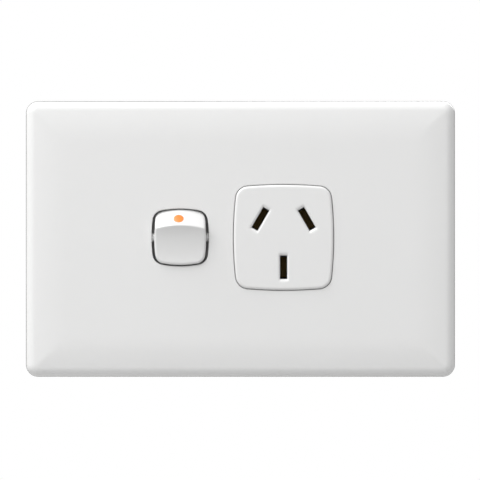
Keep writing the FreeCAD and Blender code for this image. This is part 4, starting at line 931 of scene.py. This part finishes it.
def make_finishes():
    """The finish of each slot: colours, then roughness and its spread, then what differs."""
    mould, rolled = make_mould_group(), make_metal_group()
    white = (0.806, 0.806, 0.802)
    along_x, along_z = (0.06, 1.0, 1.0), (1.0, 1.0, 0.06)
    return {
        "plate_white": plastic("plate gloss white", white, 0.08, 0.02, mould, wave=55.0),
        "grid_white": plastic("grid gloss white", white, 0.18, 0.04, mould, wave=70.0),
        "rocker_white": plastic("dolly gloss white", white, 0.14, 0.04, mould, wave=90.0),
        "dot_orange": plastic("mark orange", (0.87, 0.255, 0.045), 0.2, 0.06, mould, wave=300.0,
                              tone=0.06),
        "case_white": plastic("case textured white", (0.74, 0.74, 0.72), 0.45, 0.1, mould,
                              wave=120.0, grain=2600.0, grain_share=2.5, bump=0.35,
                              depth=0.03 * MM, tone=0.04),
        "plunger_nylon": plastic("plunger nylon", (0.8, 0.77, 0.68), 0.38, 0.08, mould, wave=400.0,
                                 tone=0.05),
        "brass": metal("rolled brass strip", (0.30, 0.20, 0.08), (0.45, 0.32, 0.14), 0.52, 0.16,
                       rolled, along_x),
        "terminal_brass": metal("machined brass", (0.6, 0.4, 0.15), (0.76, 0.55, 0.25), 0.22, 0.2,
                                rolled, along_z, streak=1400.0),
        "contact_silver": metal("contact silver", (0.78, 0.78, 0.76), (0.9, 0.9, 0.88), 0.2, 0.1,
                                rolled, (1.0, 1.0, 1.0), streak=2500.0),
        "zinc_steel": metal("zinc plate", (0.5, 0.52, 0.55), (0.72, 0.72, 0.7), 0.28, 0.14, rolled,
                            (1.0, 0.08, 1.0), streak=1600.0, stain=350.0),
        "spring_steel": metal("spring wire", (0.42, 0.42, 0.43), (0.6, 0.6, 0.61), 0.25, 0.12,
                              rolled, (1.0, 1.0, 1.0), streak=3000.0),
    }


def dress_solids():
    """Every solid gets the finish of its own slot."""
    for part in frame["record"]["subparts"]:
        node = NODES[part["node"]]
        for spot in node.material_slots:
            spot.link = "OBJECT"
            spot.material = FINISHES[part["material_slot"]]


# Studio

def make_world():
    """A dim white sky, at full strength to the camera and in reflections, with a grey flag in them.

    From the front the flag shows only at a glancing angle, where it draws the plate's outline.
    From behind, metal that faces back reflects it too.
    """
    world = bpy.data.worlds.new("studio")
    bpy.context.scene.world = world
    world.use_nodes = True
    tree = world.node_tree
    tree.nodes.clear()
    paths = tree.nodes.new("ShaderNodeLightPath").outputs
    seen = calculate(tree, "MAXIMUM", paths["Is Camera Ray"], paths["Is Glossy Ray"])
    seen = calculate(tree, "MAXIMUM", seen, paths["Is Transmission Ray"])
    strength = calculate(tree, "MULTIPLY", seen, 1.0 - AMBIENT)
    strength = calculate(tree, "ADD", strength, AMBIENT)
    direction = tree.nodes.new("ShaderNodeTexCoord").outputs["Generated"]
    split = add_node(tree, "ShaderNodeSeparateXYZ", Vector=direction)
    flag = add_node(tree, "ShaderNodeMapRange", Value=split.outputs["Y"], From_Min=FLAG_EDGE,
                    From_Max=FLAG_CORE, To_Max=FLAG_SHADE)
    shade = calculate(tree, "MULTIPLY", flag.outputs[0], paths["Is Glossy Ray"])
    strength = calculate(tree, "MULTIPLY", strength, calculate(tree, "SUBTRACT", 1.0, shade))
    background = add_node(tree, "ShaderNodeBackground", Color=(1.0, 1.0, 1.0, 1.0), Strength=strength)
    output = tree.nodes.new("ShaderNodeOutputWorld")
    tree.links.new(background.outputs[0], output.inputs["Surface"])


def aim(item, target):
    """Turns a lamp or a camera towards a point."""
    item.rotation_euler = (Vector(target) - item.location).to_track_quat("-Z", "Y").to_euler()


def add_area(name, direction, distance, size, power):
    """A round soft lamp that looks at the outlet."""
    lamp = bpy.data.lights.new(name, "AREA")
    lamp.shape = "DISK"
    lamp.size = size
    lamp.energy = power
    item = bpy.data.objects.new(name, lamp)
    item.location = Vector(direction).normalized() * distance
    bpy.context.scene.collection.objects.link(item)
    aim(item, (0, 0, 0))


def make_floor():
    """A plain pale floor under the outlet, short of the camera's own view."""
    work = bmesh.new()
    corners = [(side * FLOOR_HALF, end * FLOOR_HALF, FLOOR_Z)
               for side, end in ((-1, -1), (1, -1), (1, 1), (-1, 1))]
    work.faces.new([work.verts.new(corner) for corner in corners])
    mesh = bpy.data.meshes.new("studio_floor")
    work.to_mesh(mesh)
    work.free()
    floor = bpy.data.objects.new("studio_floor", mesh)
    bpy.context.scene.collection.objects.link(floor)
    material, tree, shader = new_material("floor paper")
    seen = tree.nodes.new("ShaderNodeLightPath").outputs["Is Camera Ray"]
    paper = mix_colours(tree, seen, (0.45, 0.45, 0.45), (0.8, 0.8, 0.8))
    tree.links.new(paper, shader.inputs["Base Color"])
    shader.inputs["Roughness"].default_value = 0.9
    mesh.materials.append(material)


def make_camera():
    """Square on to the plate, and far enough away to see a sliver of its four sides."""
    data = bpy.data.cameras.new("camera")
    data.sensor_width = SENSOR_WIDTH
    data.lens = SENSOR_WIDTH * CAMERA_DISTANCE / VIEW_WIDTH
    camera = bpy.data.objects.new("camera", data)
    camera.location = (CENTRE_X, -CAMERA_DISTANCE, CENTRE_Z)
    camera.rotation_euler = (math.pi / 2, 0, 0)
    bpy.context.scene.collection.objects.link(camera)
    bpy.context.scene.camera = camera


bpy.context.scene.view_settings.view_transform = "Standard"
FINISHES = make_finishes()
dress_solids()
SCREW_TREE = make_screw_tree()
make_cover()
make_dolly()
make_dot()
make_base()
make_screws()
make_spring()
make_world()
add_area("key", **KEY)
add_area("rear fill", **REAR_FILL)
make_floor()
make_camera()
